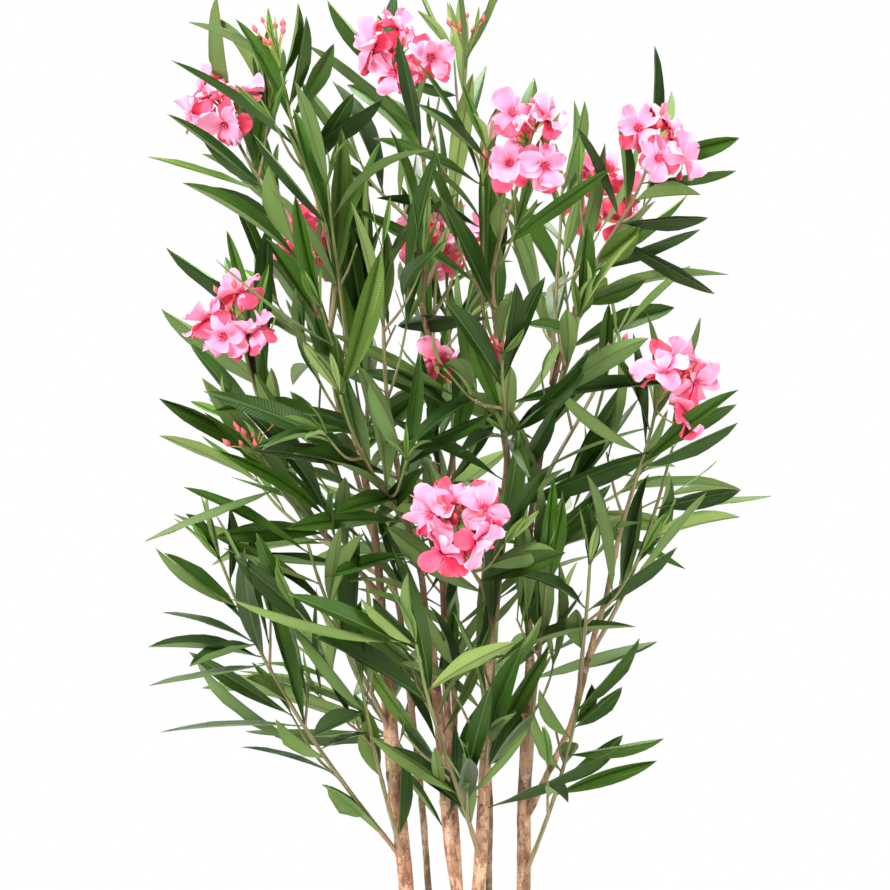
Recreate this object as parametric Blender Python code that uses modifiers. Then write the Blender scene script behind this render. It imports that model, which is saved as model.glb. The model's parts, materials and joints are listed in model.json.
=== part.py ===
"""Potted artificial oleander: natural wood stems in a filled plastic pot, with leafy flowering sprays.

Run with: blender --background --python part.py
Units are metres and +Z is up. The origin is the centre of the pot's flat underside. The plant's
front is towards -Y.

Limbs are tapering tubes that hang on one another: each names its parent and the ring of the parent
that it leaves from. Each spray of leaves is one solid, grown by a seeded rule from one stem: whorls
of three leaves and side twigs, kept to the space that lies nearer to its own stem than to any other.
"""

import math
import random
from dataclasses import dataclass

import bmesh
import bpy
import numpy as np
from mathutils import Matrix, Vector
from mathutils.bvhtree import BVHTree

COLLECTION = "potted_oleander"
UP = np.array((0.0, 0.0, 1.0))

# Pot and its filling
POT_HEIGHT = 0.168
POT_TOP_RADIUS = 0.096
POT_FOOT_RADIUS = 0.077
POT_WALL = 0.0035
POT_RIM_WIDTH = 0.0045
POT_RIM_DEPTH = 0.018
POT_STEPS = 36
FILL_LEVEL = 0.155
CLEARANCE = 0.0003

# Limbs: rings along each, and how a side limb leaves its parent and bends up
FLARE = 1.32
FLARE_HEIGHT = 0.03
STEM_RINGS = 11
BOUGH_RINGS = 8
SIDE_START = 0.007
SIDE_LEAN = 0.65
LEAD_SHARE = 0.31
TRAIL_SHARE = 0.34
BOUGH_LIFT = 0.4
SPRAY_LIFT = 0.6
WOBBLE = 0.0022
WOBBLE_WAVES = (1.6, 2.6)

# Sprays
SPRAY_RINGS = 8
SPRAY_THICK = 0.0052
SPRAY_THIN = 0.0030
TWIG_THICK = 0.0034
TWIG_THIN = 0.0028
FIRST_WHORL = 0.050
WHORL_SPACING = 0.034
WHORL_LEAVES = 3
WHORL_STEP = 0.0055
TWIG_EVERY = 2
TWIG_LENGTH = 0.085
TWIG_SIZES = (0.75, 1.25)
TWIG_ANGLE = math.radians(40)
TWIG_BEND = 0.45
TWIG_LIFT = 0.5
TWIG_TURN = 0.4
TWIG_AHEAD = 0.5
TWIG_BELOW_WHORL = 0.012
TWIG_SHORTER = (1.0, 0.7, 0.5)
TWIG_WHORLS = (0.5, 0.97)
TIP_INSET = 0.002
GOLDEN_ANGLE = math.radians(137.5)

# Leaves: the seeded ranges are shares of the length, of the width share, and radians
LEAF_LENGTH = 0.146
LEAF_LENGTHS = (0.84, 1.13)
LEAF_SHORTER_FROM = 0.45
LEAF_SHORTER_BY = 0.51
LEAF_WIDTH_SHARE = 0.160
LEAF_WIDTHS = (0.80, 1.28)
LEAF_OPEN_JITTER = 0.17
LEAF_TURN_JITTER = 0.3
LEAF_ROLL = 0.75
LEAF_THICKNESS = 0.0024
LEAF_ROOT_HEIGHT = 0.0012
LEAF_WIDEST = 0.46
LEAF_OPEN_LOW = math.radians(48)
LEAF_OPEN_HIGH = math.radians(27)
LOW_SPREAD = math.radians(55)
LOW_SPREAD_BELOW = 0.93
OUTER_SHARE = 0.28
INNER_SHARE = 0.23
SOLID_WIDTH = 1.55
CROWN_MIDDLE = (-0.02, 0.0, 0.95)

# The space that each spray keeps to
SPACE_MARGIN = 0.0035
SPACE_REACH = 0.175
LIMB_MARGIN = 0.0035
CROWN_TOP = 1.497
CROWN_FOOT = 0.535

# Blossom
BLOOM_RADIUS = 0.026
BLOOM_THROAT = 0.0065
BLOOM_DEPTH = 0.015
PETALS = 5
BLOOM_STALK = 0.048
BLOOM_SPREAD = 0.72
BLOOM_SPREAD_EACH = 0.06
STALK_THICK = 0.0028
STALK_STEP = 0.004


@dataclass(frozen=True)
class Limb:
    """One tapering stem or bough, from its parent's ring (or the filling) to its tip."""

    name: str
    parent: str
    ring: int
    tip: tuple
    thick: float
    thin: float
    bow: tuple = (0.0, 0.0)
    foot: tuple = (0.0, 0.0)


@dataclass(frozen=True)
class Spray:
    """One mass of leaves: what it grows from, its tip, the seed of its rule and its blossom."""

    name: str
    parent: str
    ring: int
    tip: tuple
    seed: int = 1
    bare: float = FIRST_WHORL
    blooms: int = 0
    facing: tuple = (0.0, -1.0, 0.3)
    turn: float = 0.0


STEMS = (
    Limb("stem_left", "", 0, (-0.084, -0.030, 0.776), 0.0180, 0.0150, foot=(-0.034, -0.012)),
    Limb("stem_left_thin", "", 0, (-0.065, 0.060, 0.780), 0.0082, 0.0064, foot=(0.000, 0.026)),
    Limb("stem_slanting", "", 0, (-0.035, -0.022, 0.775), 0.0132, 0.0104,
         bow=(0.0, -0.008), foot=(0.024, -0.036)),
    Limb("stem_centre", "", 0, (-0.0315, 0.002, 1.018), 0.0104, 0.0068,
         bow=(0.002, 0.006), foot=(0.004, 0.004)),
    Limb("stem_front", "", 0, (0.037, -0.042, 0.890), 0.0164, 0.0110,
         bow=(-0.013, 0.002), foot=(0.018, -0.012)),
    Limb("stem_right_thin", "", 0, (0.020, 0.070, 0.825), 0.0080, 0.0060, foot=(0.034, 0.034)),
    Limb("stem_right", "", 0, (0.0685, -0.002, 0.745), 0.0172, 0.0136, foot=(0.046, 0.002)),
)

BOUGHS = (
    Limb("bough_left", "stem_left", -1, (-0.170, -0.060, 1.180), 0.0098, 0.0056, bow=(0.016, 0.006)),
    Limb("bough_left_low", "bough_left", 2, (-0.163, -0.062, 0.925), 0.0062, 0.0054),
    Limb("bough_front", "stem_slanting", -1, (-0.075, -0.105, 1.000), 0.0082, 0.0056),
    Limb("bough_top", "stem_centre", -1, (-0.042, 0.004, 1.250), 0.0066, 0.0056, bow=(-0.006, 0.0)),
    Limb("bough_back", "stem_centre", 6, (-0.012, 0.150, 0.980), 0.0062, 0.0054),
    Limb("bough_centre", "stem_front", -1, (0.029, -0.082, 1.133), 0.0086, 0.0056, bow=(0.004, 0.0)),
    Limb("bough_right", "stem_right", -1, (0.1165, -0.002, 1.134), 0.0092, 0.0056, bow=(-0.024, 0.0)),
    Limb("bough_right_low", "stem_right", 8, (0.1545, -0.062, 0.876), 0.0072, 0.0056),
    Limb("bough_back_left", "stem_left_thin", -1, (-0.125, 0.140, 0.985), 0.0062, 0.0054),
    Limb("bough_back_right", "stem_right_thin", -1, (0.092, 0.150, 1.020), 0.0060, 0.0054),
)

SPRAYS = (
    Spray("spray_low_left", "stem_left", 7, (-0.250, -0.100, 0.870), 29, 0.100),
    Spray("spray_low_front", "stem_left", 7, (-0.112, -0.135, 0.790), 22, 0.070),
    Spray("spray_left_front", "stem_left", 9, (-0.160, -0.140, 0.890), 2),
    Spray("spray_left_flowers", "bough_left_low", -1, (-0.232, -0.065, 1.105), 69,
          blooms=4, facing=(-0.3, -0.9, 0.5), turn=0.4),
    Spray("spray_left_buds", "bough_left_low", 4, (-0.205, -0.130, 0.970), 32),
    Spray("spray_left_top_flowers", "bough_left", -1, (-0.248, 0.015, 1.334), 42,
          blooms=4, facing=(-0.5, -0.8, 0.4), turn=0.9),
    Spray("spray_left_peak", "bough_left", 6, (-0.190, -0.075, 1.375), 44),
    Spray("spray_left_inner", "bough_left", 5, (-0.140, -0.125, 1.255), 68),
    Spray("spray_left_centre", "bough_left", 4, (-0.110, 0.045, 1.240), 30),
    Spray("spray_left_side", "bough_left", 3, (-0.232, 0.080, 1.100), 42),
    Spray("spray_front_left", "bough_front", -1, (-0.085, -0.145, 1.190), 61),
    Spray("spray_front_middle", "bough_front", 5, (-0.125, -0.215, 1.040), 2),
    Spray("spray_top_flowers", "bough_top", -1, (-0.066, 0.000, 1.388), 14,
          blooms=4, facing=(0.0, -0.9, 0.45), turn=0.2),
    Spray("spray_top_left", "bough_top", 6, (-0.110, 0.085, 1.290), 65),
    Spray("spray_top_peak", "bough_top", 5, (0.002, 0.045, 1.400), 32),
    Spray("spray_back_middle", "bough_top", 2, (-0.030, 0.125, 1.190), 5,
          blooms=3, facing=(0.0, -0.4, 0.9), turn=0.5),
    Spray("spray_centre_flowers", "bough_centre", -1, (0.060, -0.165, 1.288), 6,
          blooms=4, facing=(0.1, -1.0, 0.2), turn=0.75),
    Spray("spray_centre_high", "bough_centre", 5, (0.018, -0.105, 1.255), 8),
    Spray("spray_centre_front", "bough_centre", 3, (0.035, -0.215, 1.080), 6),
    Spray("spray_centre_middle", "stem_centre", 9, (-0.004, -0.085, 1.050), 17,
          blooms=2, facing=(0.0, -0.6, 0.8), turn=0.2),
    Spray("spray_front_flowers", "stem_front", 9, (-0.008, -0.205, 0.905), 60,
          blooms=5, facing=(0.0, -1.0, 0.25), turn=0.3),
    Spray("spray_front_low", "stem_front", 6, (-0.050, -0.175, 0.790), 20),
    Spray("spray_low_centre", "stem_front", 7, (0.032, -0.130, 0.810), 48),
    Spray("spray_right_top_flowers", "bough_right", -1, (0.192, -0.020, 1.285), 39,
          blooms=4, facing=(0.35, -0.8, 0.6), turn=0.5),
    Spray("spray_right_high", "bough_right", 6, (0.105, 0.100, 1.265), 70),
    Spray("spray_right_inner", "bough_right", 3, (0.150, 0.045, 1.060), 44),
    Spray("spray_right_front", "bough_right", 5, (0.115, -0.135, 1.120), 27),
    Spray("spray_right_side", "bough_right", 4, (0.165, 0.140, 1.110), 44),
    Spray("spray_right_flowers", "bough_right_low", -1, (0.198, -0.085, 1.038), 26,
          blooms=4, facing=(0.7, -0.5, 0.45), turn=0.1),
    Spray("spray_right_far", "bough_right_low", 5, (0.215, -0.035, 0.985), 44, 0.060),
    Spray("spray_right_near", "bough_right_low", 4, (0.125, -0.160, 0.870), 4),
    Spray("spray_right_middle", "stem_right", 9, (0.085, -0.100, 0.885), 14),
    Spray("spray_low_right", "stem_right", 7, (0.118, -0.090, 0.735), 38, 0.075),
    Spray("spray_back_left_top", "bough_back_left", -1, (-0.165, 0.200, 1.195), 2,
          blooms=4, facing=(-0.3, 0.9, 0.5), turn=0.6),
    Spray("spray_back_left_low", "bough_back_left", 3, (-0.225, 0.165, 0.950), 40),
    Spray("spray_back_top", "bough_back", -1, (-0.020, 0.235, 1.200), 42,
          blooms=4, facing=(0.1, 0.9, 0.6), turn=0.0),
    Spray("spray_back_low", "bough_back", 4, (-0.035, 0.255, 0.920), 67),
    Spray("spray_back_right_top", "bough_back_right", -1, (0.140, 0.200, 1.250), 1,
          blooms=4, facing=(0.5, 0.7, 0.5), turn=0.3),
    Spray("spray_back_right_low", "bough_back_right", 3, (0.195, 0.190, 0.960), 6),
    Spray("spray_low_back_right", "stem_right_thin", 8, (0.100, 0.160, 0.790), 66),
    Spray("spray_low_back_left", "stem_left_thin", 8, (-0.130, 0.145, 0.770), 2),
)


def clear_scene():
    """Take away whatever the start-up file holds."""
    for item in list(bpy.data.objects):
        bpy.data.objects.remove(item, do_unlink=True)


def finish(name, colour, roughness, metallic=0.0):
    """One Principled material."""
    material = bpy.data.materials.new(name)
    material.use_nodes = True
    shader = material.node_tree.nodes["Principled BSDF"]
    shader.inputs["Base Color"].default_value = (*colour, 1.0)
    shader.inputs["Roughness"].default_value = roughness
    shader.inputs["Metallic"].default_value = metallic
    return material


def bezier(start, lead, trail, end, count):
    """Points of a cubic curve, as rows of an array."""
    t = np.linspace(0.0, 1.0, count)[:, None]
    return (start * (1 - t) ** 3 + lead * 3 * t * (1 - t) ** 2
            + trail * 3 * t ** 2 * (1 - t) + end * t ** 3)


def unit(vector):
    """The vector at length 1."""
    return vector / np.linalg.norm(vector)


def start_from(parent, ring, tip):
    """Where a limb leaves its parent, its first direction, and the direction it is drawn towards."""
    points, radii = parent
    last = len(points) - 1
    place = ring % len(points)
    tangent = unit(points[min(place + 1, last)] - points[max(place - 1, 0)])
    if place == last:
        tangent = unit(points[last] - points[last - 1])
        return points[last] + tangent * CLEARANCE, tangent, tangent
    towards = tip - points[place]
    radial = unit(towards - tangent * towards.dot(tangent))
    drawn = unit(radial * SIDE_LEAN + tangent)
    return points[place] + radial * (radii[place] + CLEARANCE), radial, drawn


def wobble(count, seed):
    """A slight seeded sway, nothing at both ends."""
    rng = random.Random(seed)
    t = np.linspace(0.0, 1.0, count)
    hold = np.sin(math.pi * t)
    sway = np.zeros((count, 3))
    for axis in range(2):
        waves = rng.uniform(*WOBBLE_WAVES)
        sway[:, axis] = WOBBLE * hold * np.sin(2 * math.pi * (waves * t + rng.random()))
    return sway


def taper(count, thick, thin):
    """Radii that run evenly from one end to the other."""
    return np.linspace(thick / 2, thin / 2, count)


def stem_path(limb, seed):
    """A stem from its flat cut on the filling: a short upright flare, then a lean to the tip."""
    base = np.array((*limb.foot, FILL_LEVEL + CLEARANCE))
    top = np.array(limb.tip)
    start = base + UP * FLARE_HEIGHT
    bow = np.array((*limb.bow, 0.0)) * 4 / 3
    span = top - start
    curve = bezier(start, start + span / 3 + bow, start + span * 2 / 3 + bow, top, STEM_RINGS - 1)
    points = np.vstack((base, curve + wobble(STEM_RINGS - 1, seed)))
    radii = np.concatenate(([limb.thick / 2 * FLARE], taper(STEM_RINGS - 1, limb.thick, limb.thin)))
    return points, radii


def bough_path(limb, parent, seed):
    """A bough that leaves its parent squarely and bends up towards its tip."""
    top = np.array(limb.tip)
    base, first, drawn = start_from(parent, limb.ring, top)
    start = base + first * SIDE_START
    bow = np.array((*limb.bow, 0.0)) * 4 / 3
    span = top - start
    reach = np.linalg.norm(span)
    lead = start + drawn * reach * LEAD_SHARE + bow / 2
    trail = top - unit(span + UP * reach * BOUGH_LIFT) * reach * TRAIL_SHARE + bow
    curve = bezier(start, lead, trail, top, BOUGH_RINGS - 1) + wobble(BOUGH_RINGS - 1, seed)
    return np.vstack((base, curve)), taper(BOUGH_RINGS, limb.thick, limb.thin)


def spray_path(spray, parent):
    """The main stem of a spray, turning upwards to its tip."""
    top = np.array(spray.tip)
    base, first, drawn = start_from(parent, spray.ring, top)
    start = base + first * SIDE_START
    span = top - start
    reach = np.linalg.norm(span)
    trail = top - unit(span + UP * reach * SPRAY_LIFT) * reach * TRAIL_SHARE
    curve = bezier(start, start + drawn * reach * LEAD_SHARE, trail, top, SPRAY_RINGS - 1)
    return np.vstack((base, curve)), taper(SPRAY_RINGS, SPRAY_THICK, SPRAY_THIN)


def dense(points, step=0.012):
    """Evenly spaced points along a path, for measuring distances."""
    gaps = np.linalg.norm(np.diff(points, axis=0), axis=1)
    along = np.concatenate(([0.0], np.cumsum(gaps)))
    places = np.linspace(0.0, along[-1], max(2, round(along[-1] / step) + 1))
    return np.column_stack([np.interp(places, along, points[:, axis]) for axis in range(3)]), along[-1]


class Space:
    """Tells whether points lie in a spray's own space and clear of the limbs."""

    def __init__(self, limbs, axes):
        self.names = list(axes)
        self.axes = [dense(points)[0] for points, _ in axes.values()]
        self.owner = np.concatenate([np.full(len(axis), i) for i, axis in enumerate(self.axes)])
        self.cloud = np.vstack(self.axes)
        rows = [dense(points)[0] for points, _ in limbs.values()]
        self.limb_cloud = np.vstack(rows)
        self.limb_radius = np.concatenate([
            np.interp(np.linspace(0, 1, len(row)), np.linspace(0, 1, len(radii)), radii)
            for row, (_, radii) in zip(rows, limbs.values())
        ])

    def holds(self, name, points, margin=SPACE_MARGIN):
        """True when every point is nearer to this spray's stem than to any other, and clear of limbs."""
        if points[:, 2].max() > CROWN_TOP or points[:, 2].min() < CROWN_FOOT:
            return False
        gaps = np.linalg.norm(points[:, None] - self.cloud[None], axis=2)
        mine = self.owner == self.names.index(name)
        own = gaps[:, mine].min(axis=1)
        if own.max() > SPACE_REACH or (own + margin > gaps[:, ~mine].min(axis=1)).any():
            return False
        limb_gaps = np.linalg.norm(points[:, None] - self.limb_cloud[None], axis=2) - self.limb_radius
        return bool(limb_gaps.min() > LIMB_MARGIN)


@dataclass
class Leaf:
    """Where a leaf sits: its root, the way it points and faces, and its size."""

    root: np.ndarray
    along: np.ndarray
    face: np.ndarray
    length: float
    width: float

    def outline(self, share=(0.22, 0.45, 0.7, 1.0)):
        """Points down the middle and at both edges of the widest place."""
        side = np.cross(self.face, self.along) * self.width / 2
        middle = [self.root + self.along * self.length * part for part in share]
        return np.array([*middle, middle[1] + side, middle[1] - side])


# A leaf that has no room is drawn in, turned round the stem or shortened, in this order
TRIES = ((0.0, 0.0, 1.0), (-0.25, 0.0, 1.0), (0.0, 0.7, 1.0), (0.0, -0.7, 1.0),
         (-0.35, 0.3, 0.82), (-0.15, 1.3, 0.95), (-0.15, -1.3, 0.95), (-0.45, 0.0, 0.75))
LOWEST_LEAN = -0.15


def rotate(vector, axis, angle):
    """The vector turned about an axis."""
    return (vector * math.cos(angle) + np.cross(axis, vector) * math.sin(angle)
            + axis * axis.dot(vector) * (1 - math.cos(angle)))


def across(tangent):
    """Any direction square to a tangent, the same each run."""
    helper = UP if abs(tangent[2]) < 0.9 else np.array((1.0, 0.0, 0.0))
    return unit(np.cross(tangent, helper))


def grow_leaf(rng, place, tangent, azimuth, height, name, space):
    """One leaf of a whorl; it is turned or drawn in where its first place isn't free."""
    opening = LEAF_OPEN_LOW + (LEAF_OPEN_HIGH - LEAF_OPEN_LOW) * height
    opening += rng.uniform(-LEAF_OPEN_JITTER, LEAF_OPEN_JITTER)
    opening += LOW_SPREAD * max(0.0, LOW_SPREAD_BELOW - place[2])
    azimuth += rng.uniform(-LEAF_TURN_JITTER, LEAF_TURN_JITTER)
    shorter_tip = LEAF_SHORTER_BY * max(0.0, height - LEAF_SHORTER_FROM)
    length = LEAF_LENGTH * (1.0 - shorter_tip) * rng.uniform(*LEAF_LENGTHS)
    width = length * LEAF_WIDTH_SHARE * rng.uniform(*LEAF_WIDTHS)
    roll = rng.uniform(-LEAF_ROLL, LEAF_ROLL)
    for less_open, turn, shorter in TRIES:
        radial = rotate(across(tangent), tangent, azimuth + turn)
        angle = opening + less_open
        along = unit(tangent * math.cos(angle) + radial * math.sin(angle))
        face = rotate(unit(tangent * math.sin(angle) - radial * math.cos(angle)), along, roll)
        leaf = Leaf(place, along, face, length * shorter, width)
        if along[2] > LOWEST_LEAN and space.holds(name, leaf.outline()):
            return leaf
    return None


def along_path(points, place):
    """The point and direction at a distance along a path."""
    gaps = np.linalg.norm(np.diff(points, axis=0), axis=1)
    sums = np.concatenate(([0.0], np.cumsum(gaps)))
    here = np.array([np.interp(place, sums, points[:, axis]) for axis in range(3)])
    part = min(int(np.searchsorted(sums, place, side="right")) - 1, len(gaps) - 1)
    return here, unit(points[part + 1] - points[part])


def grow_whorl(rng, points, place, azimuth, height, name, space):
    """The leaves round one place on a stem or twig."""
    found = []
    for number in range(WHORL_LEAVES):
        here, tangent = along_path(points, place - number * WHORL_STEP)
        turn = azimuth + number * 2 * math.pi / WHORL_LEAVES
        found.append(grow_leaf(rng, here, tangent, turn, height, name, space))
    return found


def grow_twig(rng, points, place, azimuth, name, space):
    """A side twig that bends up, or None where there is no room for it."""
    here, tangent = along_path(points, place)
    length = TWIG_LENGTH * rng.uniform(*TWIG_SIZES)
    radial = rotate(across(tangent), tangent, azimuth + rng.uniform(-TWIG_TURN, TWIG_TURN))
    along = unit(tangent * math.cos(TWIG_ANGLE) + radial * math.sin(TWIG_ANGLE))
    lifted = unit(along + UP * TWIG_LIFT)
    for shorter in TWIG_SHORTER:
        bend = here + along * length * shorter * TWIG_BEND
        tip = bend + lifted * length * shorter * (1 - TWIG_BEND)
        if space.holds(name, np.array((bend, (bend + tip) / 2, tip))):
            return np.array((here, bend, tip))
    return None


def grow(spray, axis, space):
    """Every twig and leaf of a spray, by the seeded rule."""
    rng = random.Random(spray.seed)
    points = axis[0]
    length = dense(points)[1]
    twigs = []
    leaves = []
    azimuth = rng.uniform(0.0, 2 * math.pi)
    count = max(2, round((length - spray.bare) / WHORL_SPACING) + 1)
    places = np.linspace(spray.bare, length - TIP_INSET, count)
    for number, place in enumerate(places):
        azimuth += GOLDEN_ANGLE
        leaves += grow_whorl(rng, points, place, azimuth, place / length, spray.name, space)
        if number % TWIG_EVERY == 0 and number < count - 2:
            start = place - TWIG_BELOW_WHORL
            twig = grow_twig(rng, points, start, azimuth + TWIG_AHEAD, spray.name, space)
            if twig is not None:
                twigs.append(twig)
                reach = dense(twig)[1]
                for share in TWIG_WHORLS:
                    turn = azimuth + share * math.pi
                    leaves += grow_whorl(rng, twig, reach * share, turn, share, spray.name, space)
    return twigs, leaves


def bloom_places(spray):
    """Centres and facings of the flowers round the tip of a spray."""
    tip = np.array(spray.tip)
    facing = unit(np.array(spray.facing))
    side = unit(np.cross(facing, UP))
    lift = np.cross(side, facing)
    spread = BLOOM_SPREAD + BLOOM_SPREAD_EACH * spray.blooms
    found = []
    for number in range(spray.blooms):
        angle = spray.turn + number * 2 * math.pi / spray.blooms
        out = unit(facing + (side * math.cos(angle) + lift * math.sin(angle)) * spread)
        found.append((tip + out * BLOOM_STALK, unit(out + facing)))
    return found


def to_mesh_object(curve_object, name, collection):
    """A curve's evaluated shape as a welded mesh object with its faces outward."""
    evaluated = curve_object.evaluated_get(bpy.context.evaluated_depsgraph_get())
    mesh = bpy.data.meshes.new_from_object(evaluated)
    place = curve_object.matrix_world.copy()
    data = curve_object.data
    bpy.data.objects.remove(curve_object, do_unlink=True)
    bpy.data.curves.remove(data)
    made = bpy.data.objects.new(name, mesh)
    made.matrix_world = place
    collection.objects.link(made)
    shape = bmesh.new()
    shape.from_mesh(mesh)
    bmesh.ops.remove_doubles(shape, verts=shape.verts, dist=0.00001)
    bmesh.ops.recalc_face_normals(shape, faces=shape.faces)
    shape.to_mesh(mesh)
    shape.free()
    return made


def tube(name, points, radii, collection, resolution=2, section=None):
    """A tapering tube with filled caps along points, round or with the given section."""
    data = bpy.data.curves.new(name, "CURVE")
    data.dimensions = "3D"
    data.use_fill_caps = True
    data.resolution_u = 1
    if section is None:
        data.bevel_depth = 1.0
        data.bevel_resolution = resolution
    else:
        data.bevel_mode = "OBJECT"
        data.bevel_object = section
    spline = data.splines.new("POLY")
    spline.points.add(len(points) - 1)
    for knot, point, radius in zip(spline.points, points, radii):
        knot.co = (*point, 1.0)
        knot.radius = radius
    item = bpy.data.objects.new(name, data)
    collection.objects.link(item)
    bpy.context.view_layer.update()
    return to_mesh_object(item, name, collection)


def three_sided_section(collection):
    """The closed outline that twigs are drawn with."""
    data = bpy.data.curves.new("twig_section", "CURVE")
    data.dimensions = "2D"
    spline = data.splines.new("POLY")
    spline.points.add(2)
    for number, knot in enumerate(spline.points):
        angle = number * 2 * math.pi / 3
        knot.co = (math.cos(angle), math.sin(angle), 0.0, 1.0)
    spline.use_cyclic_u = True
    item = bpy.data.objects.new("twig_section", data)
    item.hide_render = True
    collection.objects.link(item)
    return item


def leaf_shape(leaf):
    """A thin blade of eight faces: upright root edge, widest near the middle, pointed tip."""
    shape = bmesh.new()
    bmesh.ops.create_uvsphere(shape, u_segments=4, v_segments=2, radius=1.0)
    side = np.cross(leaf.face, leaf.along)
    half = LEAF_ROOT_HEIGHT / 2
    for vert in shape.verts:
        x, y, z = (round(value) for value in vert.co)
        ahead = LEAF_WIDEST * (1 - abs(x)) + max(x, 0) if z != -1 else 0.0
        up = half * (abs(x) * (x < 0) + min(z, 0)) + (LEAF_THICKNESS - half) * max(z, 0)
        vert.co = (leaf.root + leaf.along * ahead * leaf.length + leaf.face * up
                   + side * y * leaf.width * SOLID_WIDTH / 2)
    bmesh.ops.recalc_face_normals(shape, faces=shape.faces)
    return shape


def shape_object(shape, name, collection):
    """A finished bmesh as an object."""
    mesh = bpy.data.meshes.new(name)
    shape.to_mesh(mesh)
    shape.free()
    item = bpy.data.objects.new(name, mesh)
    collection.objects.link(item)
    return item


def bloom_shape(centre, facing):
    """A flower as a five-sided cup, narrow where its stalk enters."""
    shape = bmesh.new()
    bmesh.ops.create_cone(shape, cap_ends=True, segments=PETALS, radius1=BLOOM_THROAT,
                          radius2=BLOOM_RADIUS, depth=BLOOM_DEPTH)
    turn = Vector(facing).to_track_quat("Z", "Y").to_matrix().to_4x4()
    shape.transform(Matrix.Translation(Vector(centre)) @ turn)
    return shape


def keep_one_body(mesh):
    """Drop loose scrap and sealed hollows, so that one closed body is left."""
    shape = bmesh.new()
    shape.from_mesh(mesh)
    bmesh.ops.remove_doubles(shape, verts=shape.verts, dist=0.000002)
    left = set(shape.faces)
    bodies = []
    while left:
        stack = [left.pop()]
        body = set(stack)
        while stack:
            for edge in stack.pop().edges:
                for face in edge.link_faces:
                    if face not in body:
                        body.add(face)
                        stack.append(face)
        left -= body
        bodies.append(body)
    largest = max(bodies, key=len)
    scrap = [face for face in shape.faces if face not in largest]
    bmesh.ops.delete(shape, geom=scrap, context="FACES")
    shape.to_mesh(mesh)
    shape.free()


def fuse(item, pieces):
    """Join the pieces to the item with one union, apply it, and remove them."""
    union = item.modifiers.new("fuse", "BOOLEAN")
    union.operation = "UNION"
    union.operand_type = "COLLECTION"
    union.collection = pieces
    bpy.context.view_layer.update()
    evaluated = item.evaluated_get(bpy.context.evaluated_depsgraph_get())
    joined = bpy.data.meshes.new_from_object(evaluated)
    item.modifiers.remove(union)
    old = item.data
    item.data = joined
    bpy.data.meshes.remove(old)
    for piece in list(pieces.objects):
        data = piece.data
        bpy.data.objects.remove(piece, do_unlink=True)
        bpy.data.meshes.remove(data)
    keep_one_body(item.data)


def add_blooms(spray, points, pieces, section):
    """The flowers on their stalks; returns the cups' search trees."""
    trees = []
    length = dense(points)[1]
    for number, (centre, facing) in enumerate(bloom_places(spray)):
        root = along_path(points, length - number * STALK_STEP)[0]
        stalk = np.array((root, centre))
        tube("stalk", stalk, taper(2, STALK_THICK, STALK_THICK), pieces, section=section)
        shape = bloom_shape(centre, facing)
        trees.append(BVHTree.FromBMesh(shape))
        shape_object(shape, "bloom", pieces)
    return trees


def add_leaves(leaves, trees, pieces):
    """The leaves that make the outline and an even share of the rest, none crossing another."""
    found = [leaf for leaf in leaves if leaf is not None]
    middle = np.array(CROWN_MIDDLE)
    found.sort(key=lambda leaf: -np.linalg.norm(leaf.root + leaf.along * leaf.length - middle))
    for rank, leaf in enumerate(found):
        if rank >= OUTER_SHARE * len(found) and (rank * INNER_SHARE) % 1.0 >= INNER_SHARE:
            continue
        shape = leaf_shape(leaf)
        tree = BVHTree.FromBMesh(shape)
        if any(tree.overlap(other) for other in trees):
            shape.free()
            continue
        trees.append(tree)
        shape_object(shape, "leaf", pieces)


def build_spray(spray, axis, grown, parts, pieces, section, material):
    """One mass of foliage as a single solid."""
    twigs, leaves = grown
    item = tube(spray.name, *axis, parts, section=section)
    for twig in twigs:
        tube("twig", twig, taper(len(twig), TWIG_THICK, TWIG_THIN), pieces, section=section)
    trees = add_blooms(spray, axis[0], pieces, section)
    add_leaves(leaves, trees, pieces)
    fuse(item, pieces)
    item.data.materials.clear()
    item.data.materials.append(material)


def turned(name, profile, parts, material):
    """A body of revolution; the profile runs down the outer side from the axis and back to it."""
    mesh = bpy.data.meshes.new(name)
    edges = [(number, number + 1) for number in range(len(profile) - 1)]
    mesh.from_pydata([(radius, 0.0, height) for radius, height in profile], edges, [])
    item = bpy.data.objects.new(name, mesh)
    parts.objects.link(item)
    screw = item.modifiers.new("turn", "SCREW")
    screw.steps = POT_STEPS
    screw.render_steps = POT_STEPS
    screw.use_merge_vertices = True
    screw.merge_threshold = 0.00001
    screw.use_smooth_shade = True
    mesh.materials.append(material)
    return item


def build_pot(parts):
    """The pot: a slightly tapering shell with a thick flat floor and a turned-over rim."""
    rim = POT_TOP_RADIUS + POT_RIM_WIDTH
    profile = (
        (0.0, POT_WALL),
        (POT_FOOT_RADIUS - POT_WALL, POT_WALL),
        (POT_TOP_RADIUS - POT_WALL, POT_HEIGHT - 0.001),
        (POT_TOP_RADIUS - POT_WALL + 0.001, POT_HEIGHT),
        (rim - 0.0015, POT_HEIGHT),
        (rim, POT_HEIGHT - 0.0015),
        (rim - 0.001, POT_HEIGHT - POT_RIM_DEPTH),
        (wall_radius(POT_HEIGHT - POT_RIM_DEPTH), POT_HEIGHT - POT_RIM_DEPTH),
        (wall_radius(0.004), 0.004),
        (POT_FOOT_RADIUS - 0.003, 0.0),
        (0.0, 0.0),
    )
    return turned("pot", profile, parts, finish("pot_plastic", (0.035, 0.035, 0.037), 0.5))


def wall_radius(height):
    """The pot's outer radius at a height."""
    return POT_FOOT_RADIUS + (POT_TOP_RADIUS - POT_FOOT_RADIUS) * height / POT_HEIGHT


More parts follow.
